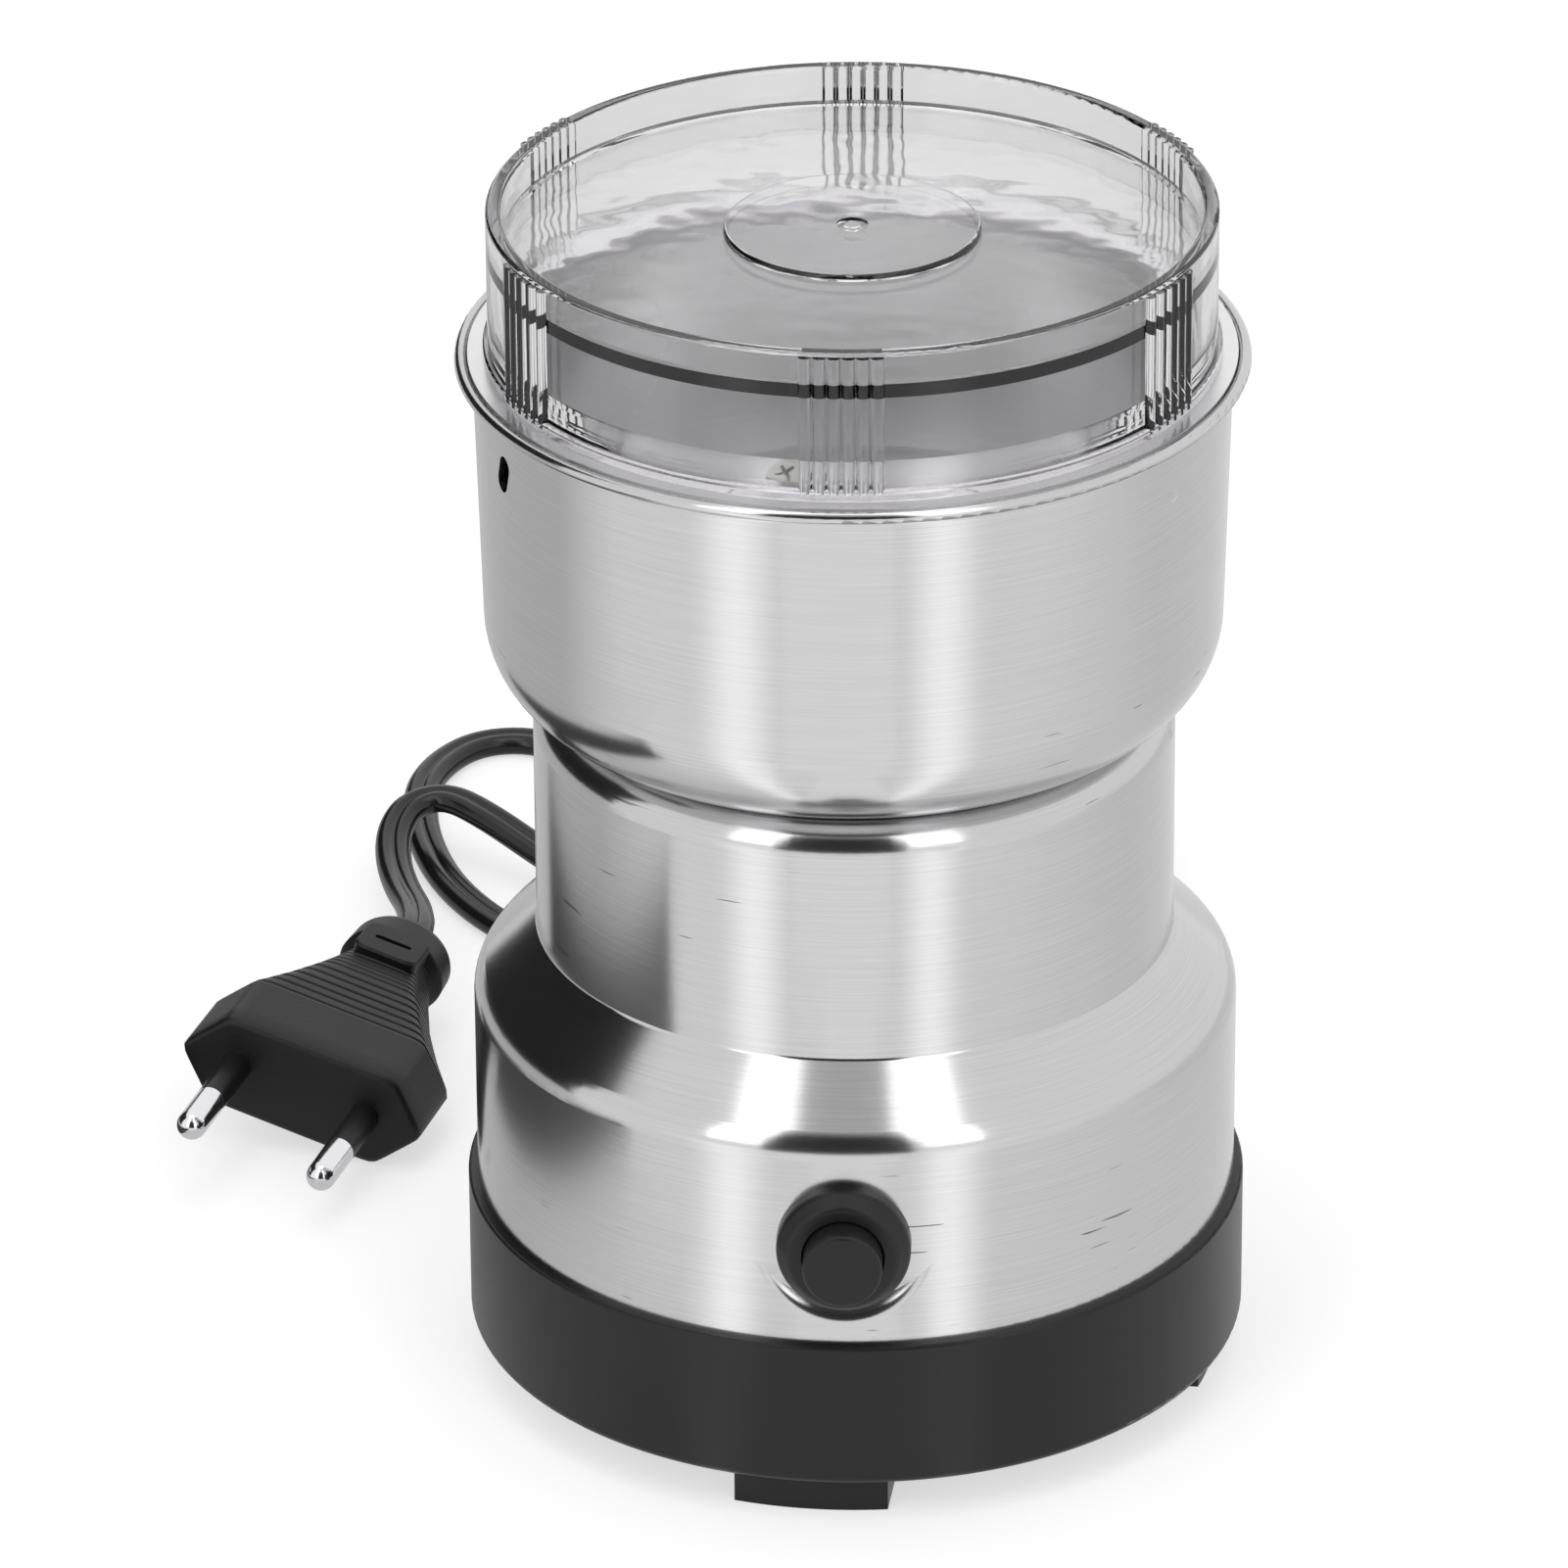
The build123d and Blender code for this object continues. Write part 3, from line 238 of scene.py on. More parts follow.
# --- shared material code -------------------------------------------------------------------
class Finish:
    """A node material under construction, with short helpers for its usual parts."""

    def __init__(self, name):
        self.material = bpy.data.materials.new(name)
        self.material.use_nodes = True
        self.nodes = self.material.node_tree.nodes
        self.links = self.material.node_tree.links
        self.shader = self.nodes["Principled BSDF"]
        self.output = self.nodes["Material Output"]

    def node(self, kind, **values):
        """Add a node; a value sets an input by name where there is one, and else an attribute."""
        made = self.nodes.new("ShaderNode" + kind)
        for key, value in values.items():
            if key in made.inputs:
                made.inputs[key].default_value = value
            else:
                setattr(made, key, value)
        return made

    def link(self, source, target):
        self.links.new(source, target)

    def set(self, **values):
        """Set the shader's own sockets, with spaces in their names written as underscores."""
        for key, value in values.items():
            self.shader.inputs[key.replace("_", " ")].default_value = value

    def coordinates(self, scale=(1.0, 1.0, 1.0)):
        """Object coordinates stretched by a scale."""
        place = self.node("TexCoord")
        mapping = self.node("Mapping")
        mapping.inputs["Scale"].default_value = scale
        self.link(place.outputs["Object"], mapping.inputs["Vector"])
        return mapping.outputs["Vector"]

    def noise(self, scale, stretch=(1.0, 1.0, 1.0), detail=3.0, roughness=0.5):
        """Noise over the stretched object coordinates."""
        made = self.node("TexNoise", Scale=scale, Detail=detail, Roughness=roughness)
        self.link(self.coordinates(stretch), made.inputs["Vector"])
        return made.outputs["Fac"]

    def ramp(self, value, stops):
        """A colour ramp; stops are (position, grey or colour)."""
        made = self.node("ValToRGB")
        elements = made.color_ramp.elements
        while len(elements) < len(stops):
            elements.new(0.5)
        for element, (position, colour) in zip(elements, stops):
            grey = isinstance(colour, (int, float))
            element.position = position
            element.color = (colour, colour, colour, 1.0) if grey else (*colour, 1.0)
        self.link(value, made.inputs["Fac"])
        return made.outputs["Color"]

    def spread(self, value, low, high, start=0.0, end=1.0, shape="LINEAR"):
        """Map a value from start..end to low..high."""
        made = self.node("MapRange", interpolation_type=shape)
        ends = {"From Min": start, "From Max": end, "To Min": low, "To Max": high}
        for key, number in ends.items():
            made.inputs[key].default_value = number
        self.link(value, made.inputs["Value"])
        return made.outputs["Result"]

    def math(self, operation, first, second):
        """Join two values; the second may be a plain number."""
        made = self.node("Math", operation=operation)
        self.link(first, made.inputs[0])
        if isinstance(second, (int, float)):
            made.inputs[1].default_value = second
        else:
            self.link(second, made.inputs[1])
        return made.outputs[0]

    def along(self, axis):
        """The object coordinate along an axis."""
        axes = self.node("SeparateXYZ")
        self.link(self.node("TexCoord").outputs["Object"], axes.inputs[0])
        return axes.outputs[axis]

    def reach(self, axes, centre=(0.0, 0.0, 0.0)):
        """Distance from a centre, measured only along the axes marked with 1."""
        offset = self.node("VectorMath", operation="SUBTRACT")
        offset.inputs[1].default_value = centre
        self.link(self.node("TexCoord").outputs["Object"], offset.inputs[0])
        flat = self.node("VectorMath", operation="MULTIPLY")
        flat.inputs[1].default_value = axes
        self.link(offset.outputs[0], flat.inputs[0])
        length = self.node("VectorMath", operation="LENGTH")
        self.link(flat.outputs[0], length.inputs[0])
        return length.outputs["Value"]

    def vary(self, value, colour, amount):
        """The colour made darker and lighter by a value."""
        low = [max(0.0, c * (1 - amount)) for c in colour]
        high = [min(1.0, c * (1 + amount)) for c in colour]
        self.link(self.ramp(value, [(0.3, low), (0.7, high)]), self.shader.inputs["Base Color"])

    def rough(self, value, low, high):
        """Roughness that follows a value."""
        self.link(self.spread(value, low, high), self.shader.inputs["Roughness"])

    def bump(self, value, distance, strength=1.0, after=None):
        """Bump of a height in metres; it may follow an earlier bump."""
        made = self.node("Bump", Strength=strength, Distance=distance)
        self.link(value, made.inputs["Height"])
        if after is not None:
            self.link(after, made.inputs["Normal"])
        self.link(made.outputs["Normal"], self.shader.inputs["Normal"])
        return made.outputs["Normal"]


# --- finishes -------------------------------------------------------------------------------
def drawn_rim(f):
    """Height of the sheet under the button's hole, where it is drawn in: it rises smoothly with the
    distance from the button's axis, on the front's lower side only."""
    from_button = f.reach((1.0, 0.0, 1.0), (0.0, 0.0, BUTTON_Z))
    rise = f.spread(from_button, 0.0, 1.0, RIM_INNER, RIM_OUTER, "SMOOTHERSTEP")
    behind = f.math("GREATER_THAN", f.along("Y"), 0.0)
    above = f.spread(f.along("Z"), 0.0, 1.0, RIM_FADE_LOW, RIM_FADE_HIGH, "SMOOTHERSTEP")
    return f.math("MAXIMUM", f.math("MAXIMUM", rise, behind), above)


def brushed_steel():
    """Stainless steel brushed round the motor's axis, with fine streaks and faint wear."""
    f = Finish("brushed_stainless")
    f.set(Metallic=1.0, Anisotropic=0.7, Anisotropic_Rotation=0.25)
    tangent = f.node("Tangent", direction_type="RADIAL", axis="Z")
    f.link(tangent.outputs["Tangent"], f.shader.inputs["Tangent"])
    streaks = f.noise(1.0, (60.0, 60.0, 7000.0), detail=4.0, roughness=0.65)
    clouds = f.noise(38.0, detail=2.0)
    dashes = f.ramp(f.noise(1.0, (95.0, 95.0, 1500.0), detail=1.0), [(0.735, 0.0), (0.76, 1.0)])
    patches = f.ramp(f.noise(24.0, detail=1.0), [(0.52, 0.0), (0.60, 1.0)])
    below_cup = f.spread(f.along("Z"), 0.0, 1.0, WEAR_TOP + 0.002, WEAR_TOP)
    marks = f.math("MULTIPLY", dashes, f.math("MULTIPLY", patches, below_cup))
    steel = colours().steel
    brushed = f.ramp(streaks, [(0.3, [c * 0.94 for c in steel]), (0.7, [c * 1.06 for c in steel])])
    worn = f.node("Mix", data_type="RGBA")
    f.link(marks, worn.inputs["Factor"])
    f.link(brushed, worn.inputs["A"])
    worn.inputs["B"].default_value = (0.16, 0.16, 0.165, 1.0)
    f.link(worn.outputs["Result"], f.shader.inputs["Base Color"])
    f.rough(clouds, 0.14, 0.19)
    f.bump(drawn_rim(f), RIM_DEPTH, 1.0, after=f.bump(streaks, 0.000006, 0.4))
    return f.material


def cup_steel():
    """Bright satin steel of the inner cup, with turned rings and rubbed marks."""
    f = Finish("satin_cup")
    f.set(Metallic=1.0)
    rings = f.noise(1.0, (40.0, 40.0, 2600.0), detail=3.0)
    rubbed = f.noise(55.0, detail=3.0)
    f.vary(rings, [min(1.0, c * 1.4) for c in colours().steel], 0.03)
    f.rough(rubbed, 0.24, 0.34)
    f.bump(rings, 0.00001, 0.4)
    return f.material


def polished_steel():
    """Bright plated steel with faint handling marks."""
    f = Finish("polished_steel")
    f.set(Metallic=1.0, Base_Color=(0.80, 0.80, 0.82, 1.0))
    marks = f.noise(420.0, (1.0, 1.0, 4.0), detail=3.0)
    f.rough(marks, 0.07, 0.20)
    f.bump(marks, 0.00001, 0.3)
    return f.material


def moulded(name, colour, low, high, grain, depth, gloss=0.5):
    """Moulded plastic or rubber: a fine grain in the surface and slightly uneven gloss."""
    f = Finish(name)
    f.set(Specular_IOR_Level=gloss)
    fine = f.noise(grain, detail=3.0, roughness=0.6)
    patches = f.noise(60.0, detail=2.0)
    f.vary(patches, colour, 0.10)
    f.rough(patches, low, high)
    f.bump(fine, depth, 0.6)
    return f.material


def black_plastic():
    """Satin black moulding of the base, the button and its bezel."""
    return moulded("black_moulding", colours().black_plastic, 0.30, 0.42, 2600.0, 0.00003, gloss=0.3)


def cord_rubber():
    """Matt black moulding of the plug, the strain relief and the feet."""
    return moulded("black_rubber", colours().rubber, 0.34, 0.46, 1800.0, 0.00004, gloss=0.32)


def cord_cover():
    """Smooth black cover of the cord, glossier than the mouldings."""
    return moulded("black_cord_cover", colours().rubber, 0.17, 0.28, 1200.0, 0.00001, gloss=0.42)


def clear_plastic():
    """Clear smoky lid: its plate is hazier than its rim, and shadows pass through it."""
    f = Finish("clear_lid")
    f.set(Transmission_Weight=1.0, IOR=1.49, Base_Color=(*colours().clear, 1.0))
    on_plate = f.spread(f.reach((1.0, 1.0, 0.0)), 0.0, 1.0, PLATE_RADIUS + 0.0011, PLATE_RADIUS)
    f.rough(on_plate, 0.02, 0.045)
    pale = [1 - (1 - c) * 0.15 for c in colours().clear]
    tinted = f.ramp(on_plate, [(0.0, colours().clear), (1.0, pale)])
    in_foot = f.spread(f.along("Z"), 0.0, 1.0, LID_FOOT_TOP + 0.0015, LID_FOOT_TOP)
    stain = f.node("Mix", data_type="RGBA")
    f.link(in_foot, stain.inputs["Factor"])
    f.link(tinted, stain.inputs["A"])
    stain.inputs["B"].default_value = (0.72, 0.70, 0.73, 1.0)
    f.link(stain.outputs["Result"], f.shader.inputs["Base Color"])
    f.bump(f.math("MULTIPLY", f.noise(70.0, detail=2.0), f.spread(on_plate, 0.2, 1.0)), 0.0006, 0.5)
    path = f.node("LightPath")
    see_through = f.node("BsdfTransparent", Color=(0.86, 0.85, 0.87, 1.0))
    mix = f.node("MixShader")
    f.link(path.outputs["Is Shadow Ray"], mix.inputs["Fac"])
    f.link(f.shader.outputs["BSDF"], mix.inputs[1])
    f.link(see_through.outputs["BSDF"], mix.inputs[2])
    f.link(mix.outputs["Shader"], f.output.inputs["Surface"])
    return f.material


def plain_metal(name, colour, low, high):
    """Metal of an inner part, with an uneven gloss."""
    f = Finish(name)
    f.set(Metallic=1.0)
    patches = f.noise(260.0, detail=3.0)
    f.vary(patches, colour, 0.12)
    f.rough(patches, low, high)
    f.bump(patches, 0.00002, 0.3)
    return f.material


def laminated():
    """Stacked electrical steel plates: fine level lines and a dull varnish."""
    f = Finish("laminated_steel")
    f.set(Metallic=0.6)
    lines = f.node("TexWave", Scale=320.0, Distortion=0.0)
    lines.bands_direction = "Z"
    f.link(f.coordinates(), lines.inputs["Vector"])
    f.vary(lines.outputs["Fac"], (0.12, 0.12, 0.125), 0.35)
    f.rough(lines.outputs["Fac"], 0.4, 0.6)
    f.bump(lines.outputs["Fac"], 0.0001, 0.6)
    return f.material


def enamelled_copper():
    """Windings of enamelled copper wire, laid side by side."""
    f = Finish("enamelled_copper")
    f.set(Metallic=0.9)
    wires = f.node("TexWave", Scale=380.0, Distortion=1.5)
    f.link(f.coordinates(), wires.inputs["Vector"])
    f.vary(wires.outputs["Fac"], (0.62, 0.27, 0.12), 0.3)
    f.rough(wires.outputs["Fac"], 0.25, 0.45)
    f.bump(wires.outputs["Fac"], 0.0002, 0.7)
    return f.material


FINISHES = {
    "black_plastic": black_plastic,
    "rubber_black": cord_rubber,
    "cord_cover": cord_cover,
    "clear_plastic": clear_plastic,
    "stainless": brushed_steel,
    "cup_steel": cup_steel,
    "polished_steel": polished_steel,
    "zinc_steel": lambda: plain_metal("zinc_plated", (0.62, 0.62, 0.58), 0.25, 0.4),
    "lamination": laminated,
    "copper": enamelled_copper,
    "brass": lambda: plain_metal("stamped_brass", (0.72, 0.55, 0.25), 0.22, 0.4),
    "bronze": lambda: plain_metal("sintered_bronze", (0.42, 0.30, 0.18), 0.4, 0.6),
    "carbon": lambda: moulded("pressed_carbon", (0.03, 0.03, 0.03), 0.5, 0.65, 1500.0, 0.00004),
    "frame_plastic": lambda: moulded("pale_moulding", (0.50, 0.49, 0.46), 0.4, 0.55, 2000.0, 0.00003),
    "wire_insulation": lambda: moulded("wire_cover", (0.25, 0.10, 0.05), 0.3, 0.45, 1500.0, 0.00002),
}


NODE_FINISHES = {"grinding_bowl": "cup_steel"}


def finish_of(slot):
    """The material of a slot, made once."""
    made = bpy.context.scene.get("grinder_finishes", {})
    if slot in made:
        return bpy.data.materials[made[slot]]
    material = FINISHES[slot]()
    bpy.context.scene["grinder_finishes"] = {**dict(made), slot: material.name}
    return material


# --- operators ------------------------------------------------------------------------------
class GRINDER_OT_finishes(bpy.types.Operator):
    """Give every node of the model the finish of its material slot"""

    bl_idname = "grinder.finishes"
    bl_label = "Finishes"

    def execute(self, context):
        for part in frame["record"]["subparts"]:
            material = finish_of(NODE_FINISHES.get(part["node"], part["material_slot"]))
            node = NODES[part["node"]]
            for slot in node.material_slots:
                slot.material = material
        self.spring()
        return {"FINISHED"}

    def spring(self):
        """Give the button's spring a mesh of its own."""
        node = NODES["switch_spring"]
        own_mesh(node)


def coil_points():
    """Points round the coil: the radius strays by a sine of the turns, and each turn climbs a step
    shortly before it comes back over the one below."""
    s = sizes()
    count = int(COIL_TURNS * COIL_POINTS_PER_TURN)
    turn = np.arange(count + 1) / COIL_POINTS_PER_TURN
    climb = sum(np.clip((turn - level + CLIMB_LEAD) / CLIMB_RUN, 0, 1) for level in COIL_LEVELS)
    last_half_turn = COIL_TURNS - 0.5
    calm = 1 - np.clip(turn - last_half_turn, 0, 0.5) * 2
    radius = s.coil_radius + s.coil_spread * np.sin(pi * turn) * calm
    angle = pi / 2 - 2 * pi * turn
    x = COIL_CENTRE[0] + radius * np.cos(angle)
    y = COIL_CENTRE[1] + radius * np.sin(angle)
    return np.stack([x, y, REST_Z + s.coil_rise * climb], axis=1).tolist()


def route_line(points):
    """The smooth line of a route: an open spline of order 3 with the route as its control points."""
    curve = bpy.data.curves.new("route", "CURVE")
    curve.dimensions = "3D"
    spline = curve.splines.new("NURBS")
    spline.points.add(len(points) - 1)
    spline.points.foreach_set("co", np.array([(*p, 1.0) for p in points]).ravel())
    spline.order_u = 3
    spline.use_endpoint_u = True
    spline.resolution_u = 6
    holder = bpy.data.objects.new("route", curve)
    bpy.context.scene.collection.objects.link(holder)
    bpy.context.view_layer.update()
    mesh = bpy.data.meshes.new_from_object(holder)
    line = np.zeros(len(mesh.vertices) * 3)
    mesh.vertices.foreach_get("co", line)
    bpy.data.meshes.remove(mesh)
    bpy.data.objects.remove(holder)
    return line.reshape(-1, 3)


def twin_section(width, thick, count=28):
    """Figure-eight outline of two cores side by side: from the middle, the distance to the rim at an
    angle is where the ray leaves the nearer core's circle."""
    core = thick / 2
    offset = width / 2 - core
    angle = np.arange(count) * 2 * pi / count
    reach = offset * np.abs(np.cos(angle)) + np.sqrt(core ** 2 - (offset * np.sin(angle)) ** 2)
    return np.stack([reach * np.cos(angle), reach * np.sin(angle)], axis=1)


def six_sided_reach(angle, half_width, half_thick, flat_share, crispness):
    """Distance to the rim of a rounded six-sided section at an angle: a smooth minimum over its six
    sides of the side's distance divided by the cosine of the angle between them."""
    half_flat = half_width * flat_share
    slant = np.arctan2(half_width - half_flat, half_thick)
    slant_distance = half_width * np.cos(slant)
    total = 0.0
    for normal, distance in ((pi / 2, half_thick), (-pi / 2, half_thick), (slant, slant_distance),
                             (-slant, slant_distance), (pi - slant, slant_distance),
                             (pi + slant, slant_distance)):
        total = total + (np.maximum(np.cos(angle - normal), 0.0) / distance) ** crispness
    return total ** (-1 / crispness)


def follow(along, knots):
    """Two values at each place along a line, straight between knots of (place, value, value)."""
    places, first, second = zip(*knots)
    return np.interp(along, places, first), np.interp(along, places, second)


def at_plug(points):
    """Put points that have the pins along -Y and the face at Y = 0 where the plug lies."""
    turn = Matrix.Rotation(PLUG_TURN, 3, "Z") @ Matrix.Rotation(PLUG_ROLL, 3, "Y")
    return np.asarray(points) @ np.array(turn).T * MM + np.array(PLUG_PLACE)


class GRINDER_OT_plug(bpy.types.Operator):
    """Make the flat two-pin plug: a six-sided block, a ridged grip, a collar and a slotted tab"""

    bl_idname = "grinder.plug"
    bl_label = "Plug"

    def execute(self, context):
        along = np.concatenate(PLUG_RINGS)
        inset = self.rounding(along) + self.grooves(along)
        half_width, half_thick = follow(along, PLUG_SECTIONS)
        crispness, flat_share = follow(along, PLUG_CORNERS)
        angle = (np.arange(PLUG_SIDES) * 2 * pi / PLUG_SIDES)[None, :]
        column = [a[:, None] for a in (half_width - inset, half_thick - inset, flat_share, crispness)]
        reach = six_sided_reach(angle, *column)
        points = np.stack([reach * np.cos(angle), np.broadcast_to(along[:, None], reach.shape),
                           reach * np.sin(angle)], axis=2)
        first = np.arange(PLUG_SIDES)
        last = first[::-1] + (len(along) - 1) * PLUG_SIDES
        quads = grid_faces(len(along), PLUG_SIDES)[:, ::-1]
        body = make_mesh("plug_shell", at_plug(points.reshape(-1, 3)), quads, finish_of("rubber_black"),
                         ends=(first, last))
        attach(body, "base")
        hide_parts("plug_body")
        self.tab()
        return {"FINISHED"}

    def rounding(self, along):
        """How far the surface draws in at both ends, as quarters of an ellipse."""
        depth = np.clip(FACE_EDGE - along, 0, FACE_EDGE)
        at_face = FACE_EDGE - np.sqrt(np.clip(FACE_EDGE ** 2 - depth ** 2, 0, None))
        end = np.clip((along - TAIL_EDGE_START) / TAIL_EDGE_RUN, 0, 1)
        return at_face + TAIL_EDGE * (1 - np.sqrt(np.clip(1 - end ** 2, 0, None)))

    def grooves(self, along):
        """Depth of the grip's grooves: the top of a cosine, cut off flat, over a coarse pitch and then
        a fine one."""
        coarse = along < FINE_START
        start = np.where(coarse, COARSE_START, FINE_START)
        pitch = np.where(coarse, COARSE_PITCH, FINE_PITCH)
        groove = np.clip(np.cos(2 * pi * (along - start) / pitch) * 3.0 - 1.7, 0, 1)
        opening = np.clip((along - COARSE_START + GRIP_LEAD) * GRIP_FADE, 0, 1)
        closing = np.clip((GRIP_END - along) * GRIP_FADE, 0, 1)
        return opening * closing * groove * np.where(coarse, COARSE_DEPTH, FINE_DEPTH)

    def tab(self):
        """A rounded plate on the neck, a pillow of rings, with a slot sunk across its middle."""
        ring = np.arange(TAB_POINTS) * 2 * pi / TAB_POINTS
        across, along = (np.sign(a) * np.abs(a) ** TAB_SQUARENESS for a in (np.cos(ring), np.sin(ring)))
        rings = []
        for half_x, half_y, height in TAB_RINGS:
            level = np.full(TAB_POINTS, height)
            rings.append(np.stack([half_x * across, TAB_CENTRE + half_y * along, level], axis=1))
        first = np.arange(TAB_POINTS)
        last = first + (len(rings) - 1) * TAB_POINTS
        tab = make_mesh("plug_tab", at_plug(np.concatenate(rings)), grid_faces(len(rings), TAB_POINTS),
                        finish_of("rubber_black"), smooth=False, ends=(first[::-1], last))
        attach(tab, "base")


class GRINDER_OT_cord(bpy.types.Operator):
    """Make the flat twin cord from the strain relief round the coil to the plug"""

    bl_idname = "grinder.cord"
    bl_label = "Cord"

    def execute(self, context):
        s = sizes()
        line = route_line(LEAD_POINTS + coil_points() + TAIL_POINTS)
        along = np.gradient(line, axis=0)
        along /= np.linalg.norm(along, axis=1)[:, None]
        side = np.cross(along, (0.0, 0.0, 1.0))
        side /= np.linalg.norm(side, axis=1)[:, None]
        up = np.cross(side, along)
        section = twin_section(s.cord_width, s.cord_thick)
        rings = (line[:, None] + section[None, :, :1] * side[:, None]
                 + section[None, :, 1:] * up[:, None])
        count = len(section)
        first = np.arange(count)
        last = first[::-1] + (len(line) - 1) * count
        cord = make_mesh("power_cord", rings.reshape(-1, 3), grid_faces(len(line), count)[:, ::-1],
                         finish_of("cord_cover"), ends=(first, last))
        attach(cord, "base")
        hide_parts("cord_lead", "cord_coil", "cord_tail")
        return {"FINISHED"}


# --- stage ----------------------------------------------------------------------------------
def reflected_only(card):
    """Keep a card out of the camera's view and out of the light on the grinder."""
    card.visible_camera = False
    card.visible_shadow = False
    card.visible_diffuse = False
    card.visible_transmission = False


def studio_card(name, corners, glow, far_glow=None, span=(0.0, 1.0)):
    """A flat card that only reflections in the steel and the plastic see; its glow may change along
    Y over a span."""
    f = Finish(name)
    light = f.node("Emission", Strength=glow)
    if far_glow is not None:
        f.link(f.spread(f.along("Y"), glow, far_glow, *span), light.inputs["Strength"])
    f.link(light.outputs["Emission"], f.output.inputs["Surface"])
    card = make_mesh(name, np.array(corners), np.array([[0, 1, 2, 3]]), f.material, smooth=False)
    reflected_only(card)


def facing_card(name, azimuths, elevations, glow):
    """A card that fills a range of directions as seen from the grinder."""
    (left, right), (low, high) = azimuths, elevations
    directions = ((left, low), (right, low), (right, high), (left, high))
    studio_card(name, [around(*direction, CARD_DISTANCE) for direction in directions], glow)


def floor_card(name, outline, height, *glows):
    """A level card over the floor, from the four corners of its outline."""
    studio_card(name, [(x, y, height) for x, y in outline], *glows)


def floor_band(name, start, azimuth, spread, reach, glow):
    """A card on the floor that widens from a start point in the direction of an azimuth; its glow
    swells from 1 at both sides to a peak along its middle, by a squared cosine."""
    across = np.linspace(-1, 1, BAND_STEPS)
    azimuths = np.radians(azimuth + spread * across)
    rays = np.stack([np.sin(azimuths), -np.cos(azimuths), np.zeros(BAND_STEPS)], axis=1)
    near = np.array([*start, BAND_HEIGHT]) + rays * BAND_START
    points = np.concatenate([near, near + rays * reach])
    f = Finish(name)
    swell = f.node("Attribute", attribute_name="glow")
    light = f.node("Emission")
    f.link(swell.outputs["Fac"], light.inputs["Strength"])
    f.link(light.outputs["Emission"], f.output.inputs["Surface"])
    quads = grid_faces(2, BAND_STEPS, close_columns=False)
    card = make_mesh(name, points, quads, f.material, smooth=False)
    level = card.data.attributes.new("glow", "FLOAT", "POINT")
    level.data.foreach_set("value", np.tile(1 + (glow - 1) * np.cos(across * pi / 2) ** 2, 2))
    reflected_only(card)


def softbox(name, centre, size, power):
    """A rectangular lamp that faces the grinder."""
    light = bpy.data.lights.new(name, "AREA")
    light.shape = "RECTANGLE"
    light.size, light.size_y = size
    light.energy = power
    lamp = bpy.data.objects.new(name, light)
    lamp.location = centre
    lamp.rotation_euler = (Vector(LAMP_AIM) - Vector(centre)).to_track_quat("-Z", "Y").to_euler()
    lamp.visible_camera = False
    bpy.context.scene.collection.objects.link(lamp)


def around(azimuth, elevation, distance, height=0.08):
    """A point round the grinder; azimuth 0 is in front and 90 degrees on the right."""
    a, e = radians(azimuth), radians(elevation)
    return (distance * sin(a) * cos(e), -distance * cos(a) * cos(e), height + distance * sin(e))


def make_camera():
    s = stage()
    camera = bpy.data.objects.new("camera", bpy.data.cameras.new("camera"))
    camera.data.sensor_width = 36.0
    camera.data.lens = s.lens
    camera.data.shift_x = s.shift
    camera.data.clip_start = 0.05
    camera.data.clip_end = 50.0
    back = Vector((sin(s.azimuth) * cos(s.pitch), -cos(s.azimuth) * cos(s.pitch), sin(s.pitch)))
    right = Vector((cos(s.azimuth), sin(s.azimuth), 0.0))
    up = back.cross(right)
    turn = Matrix((right, up, back)).transposed() @ Matrix.Rotation(s.roll, 3, "Z")
    place = Vector((0.0, 0.0, s.target_height)) + back * s.distance
    camera.matrix_world = Matrix.Translation(place) @ turn.to_4x4()
    bpy.context.scene.collection.objects.link(camera)
    bpy.context.scene.camera = camera


def seen_directly(nodes, links):
    """1 for rays from the camera, off gloss or through glass, and 0 for the rest."""
    path = nodes.new("ShaderNodeLightPath")
    seen = path.outputs["Is Camera Ray"]
    for kind in ("Is Glossy Ray", "Is Transmission Ray"):
        larger = nodes.new("ShaderNodeMath")
        larger.operation = "MAXIMUM"
        links.new(seen, larger.inputs[0])
        links.new(path.outputs[kind], larger.inputs[1])
        seen = larger.outputs[0]
    return seen


def make_world():
    world = bpy.data.worlds.new("studio")
    bpy.context.scene.world = world
    world.use_nodes = True
    nodes, links = world.node_tree.nodes, world.node_tree.links
    background = nodes["Background"]
    background.inputs["Color"].default_value = (1.0, 1.0, 1.0, 1.0)
    strength = nodes.new("ShaderNodeMapRange")
    strength.inputs["To Min"].default_value = stage().fill
    strength.inputs["To Max"].default_value = 1.0
    links.new(seen_directly(nodes, links), strength.inputs["Value"])
    links.new(strength.outputs["Result"], background.inputs["Strength"])


def make_floor():
    """White paper: it takes shadows, and glows just enough to be white where it is lit."""
    f = Finish("white_paper")
    f.set(Base_Color=(PAPER_GREY, PAPER_GREY, PAPER_GREY, 1.0), Roughness=0.9, Specular_IOR_Level=0.0)
    glow = f.node("Emission")
    f.link(f.math("MULTIPLY", seen_directly(f.nodes, f.links), PAPER_GLOW), glow.inputs["Strength"])
    both = f.node("AddShader")
    f.link(f.shader.outputs["BSDF"], both.inputs[0])
    f.link(glow.outputs["Emission"], both.inputs[1])
    f.link(both.outputs["Shader"], f.output.inputs["Surface"])
    corners = np.array([(-1, -1, 0), (1, -1, 0), (1, 1, 0), (-1, 1, 0)]) * ROOM_REACH
    floor = make_mesh("floor", corners, np.array([[0, 1, 2, 3]]), f.material, smooth=False)


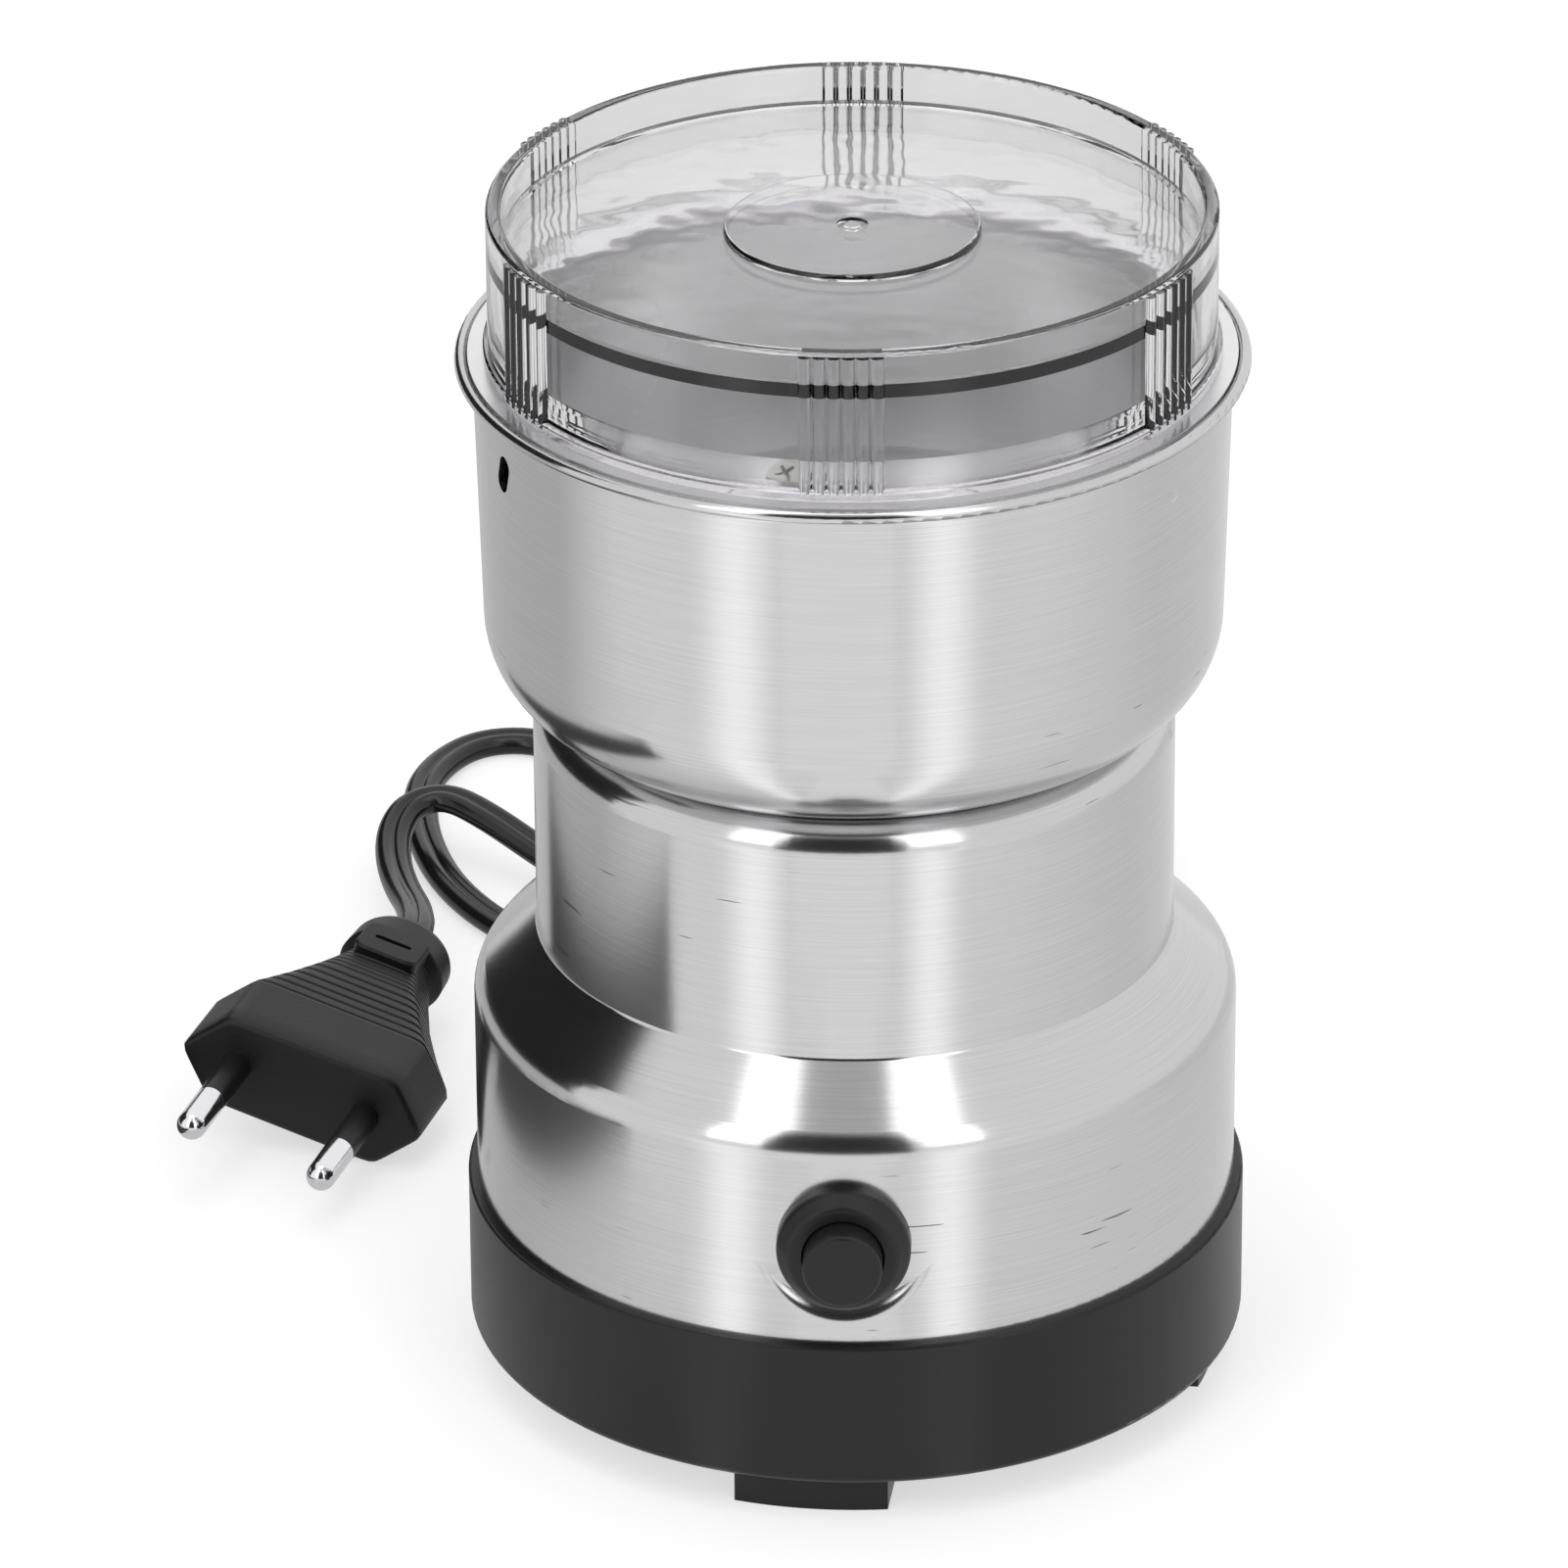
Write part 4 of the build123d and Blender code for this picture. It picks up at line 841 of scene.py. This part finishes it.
class GRINDER_OT_stage(bpy.types.Operator):
    """Make the camera, the white floor and room, the lamps and the cards that the steel reflects"""

    bl_idname = "grinder.stage"
    bl_label = "Studio"

    def execute(self, context):
        context.scene.view_settings.view_transform = "Standard"
        make_camera()
        make_world()
        make_floor()
        softbox("left_strip", around(-33, 36, 1.3), (0.40, 1.45), 2.2)
        softbox("right_strip", around(30, 36, 1.3), (0.42, 1.45), 2.2)
        softbox("top", around(0, 88, 1.6), (0.9, 0.9), 3.0)
        facing_card("camera_gap", (-24, 18), (-12, 47), 0.03)
        facing_card("camera_gap_top", (-23, 17), (47, 80), 0.60)
        studio_card("dark_wall", [(-1, -0.07, -0.3), (-1, 3.0, -0.3), (-1, 3.0, 1.3), (-1, -0.07, 1.3)],
                    glow=0.02)
        left = [(-0.02, -0.16), (-0.02, 0.4), (-0.8, 0.8), (-0.8, -0.50)]
        right = [(0.02, -0.16), (0.8, -0.60), (0.8, 0.8), (0.02, 0.4)]
        dark = [(-0.118, -0.078), (-0.095, 0.06), (-0.15, 0.13), (-0.172, -0.090)]
        floor_card("grey_floor_left", left, 0.0003, 1.0, 0.62, (-0.10, 0.01))
        floor_card("grey_floor_right", right, 0.0003, 1.0, 0.80, (-0.16, 0.05))
        floor_card("dark_floor", dark, 0.0008, 0.05)
        floor_band("left_band", (-0.013, -0.040), -35, 17, 0.6, 1.45)
        floor_band("right_band", (0.010, -0.041), 29, 16, 0.6, 1.45)
        return {"FINISHED"}


class GRINDER_PT_panel(bpy.types.Panel):
    """Buttons and sizes of the grinder"""

    bl_label = "Electric Spice Grinder"
    bl_idname = "GRINDER_PT_panel"
    bl_space_type = "VIEW_3D"
    bl_region_type = "UI"
    bl_category = "Grinder"

    def draw(self, context):
        for operator in OPERATORS:
            self.layout.operator(operator.bl_idname)
        for group in (sizes(), colours(), stage()):
            box = self.layout.box()
            for name in group.bl_rna.properties.keys():
                if name not in ("rna_type", "name"):
                    box.prop(group, name)


GROUPS = {"grinder_sizes": GrinderSizes, "grinder_colours": GrinderColours, "grinder_stage": StageSettings}
OPERATORS = [GRINDER_OT_finishes, GRINDER_OT_plug, GRINDER_OT_cord, GRINDER_OT_stage]


def register():
    for group in GROUPS.values():
        bpy.utils.register_class(group)
    for name, group in GROUPS.items():
        setattr(bpy.types.Scene, name, bpy.props.PointerProperty(type=group))
    for operator in OPERATORS:
        bpy.utils.register_class(operator)
    bpy.utils.register_class(GRINDER_PT_panel)


def unregister():
    bpy.utils.unregister_class(GRINDER_PT_panel)
    for operator in reversed(OPERATORS):
        bpy.utils.unregister_class(operator)
    for name, group in GROUPS.items():
        delattr(bpy.types.Scene, name)
        bpy.utils.unregister_class(group)


def main():
    register()
    bpy.ops.grinder.finishes()
    bpy.ops.grinder.plug()
    bpy.ops.grinder.cord()
    bpy.ops.grinder.stage()


if __name__ == "__main__":
    main()
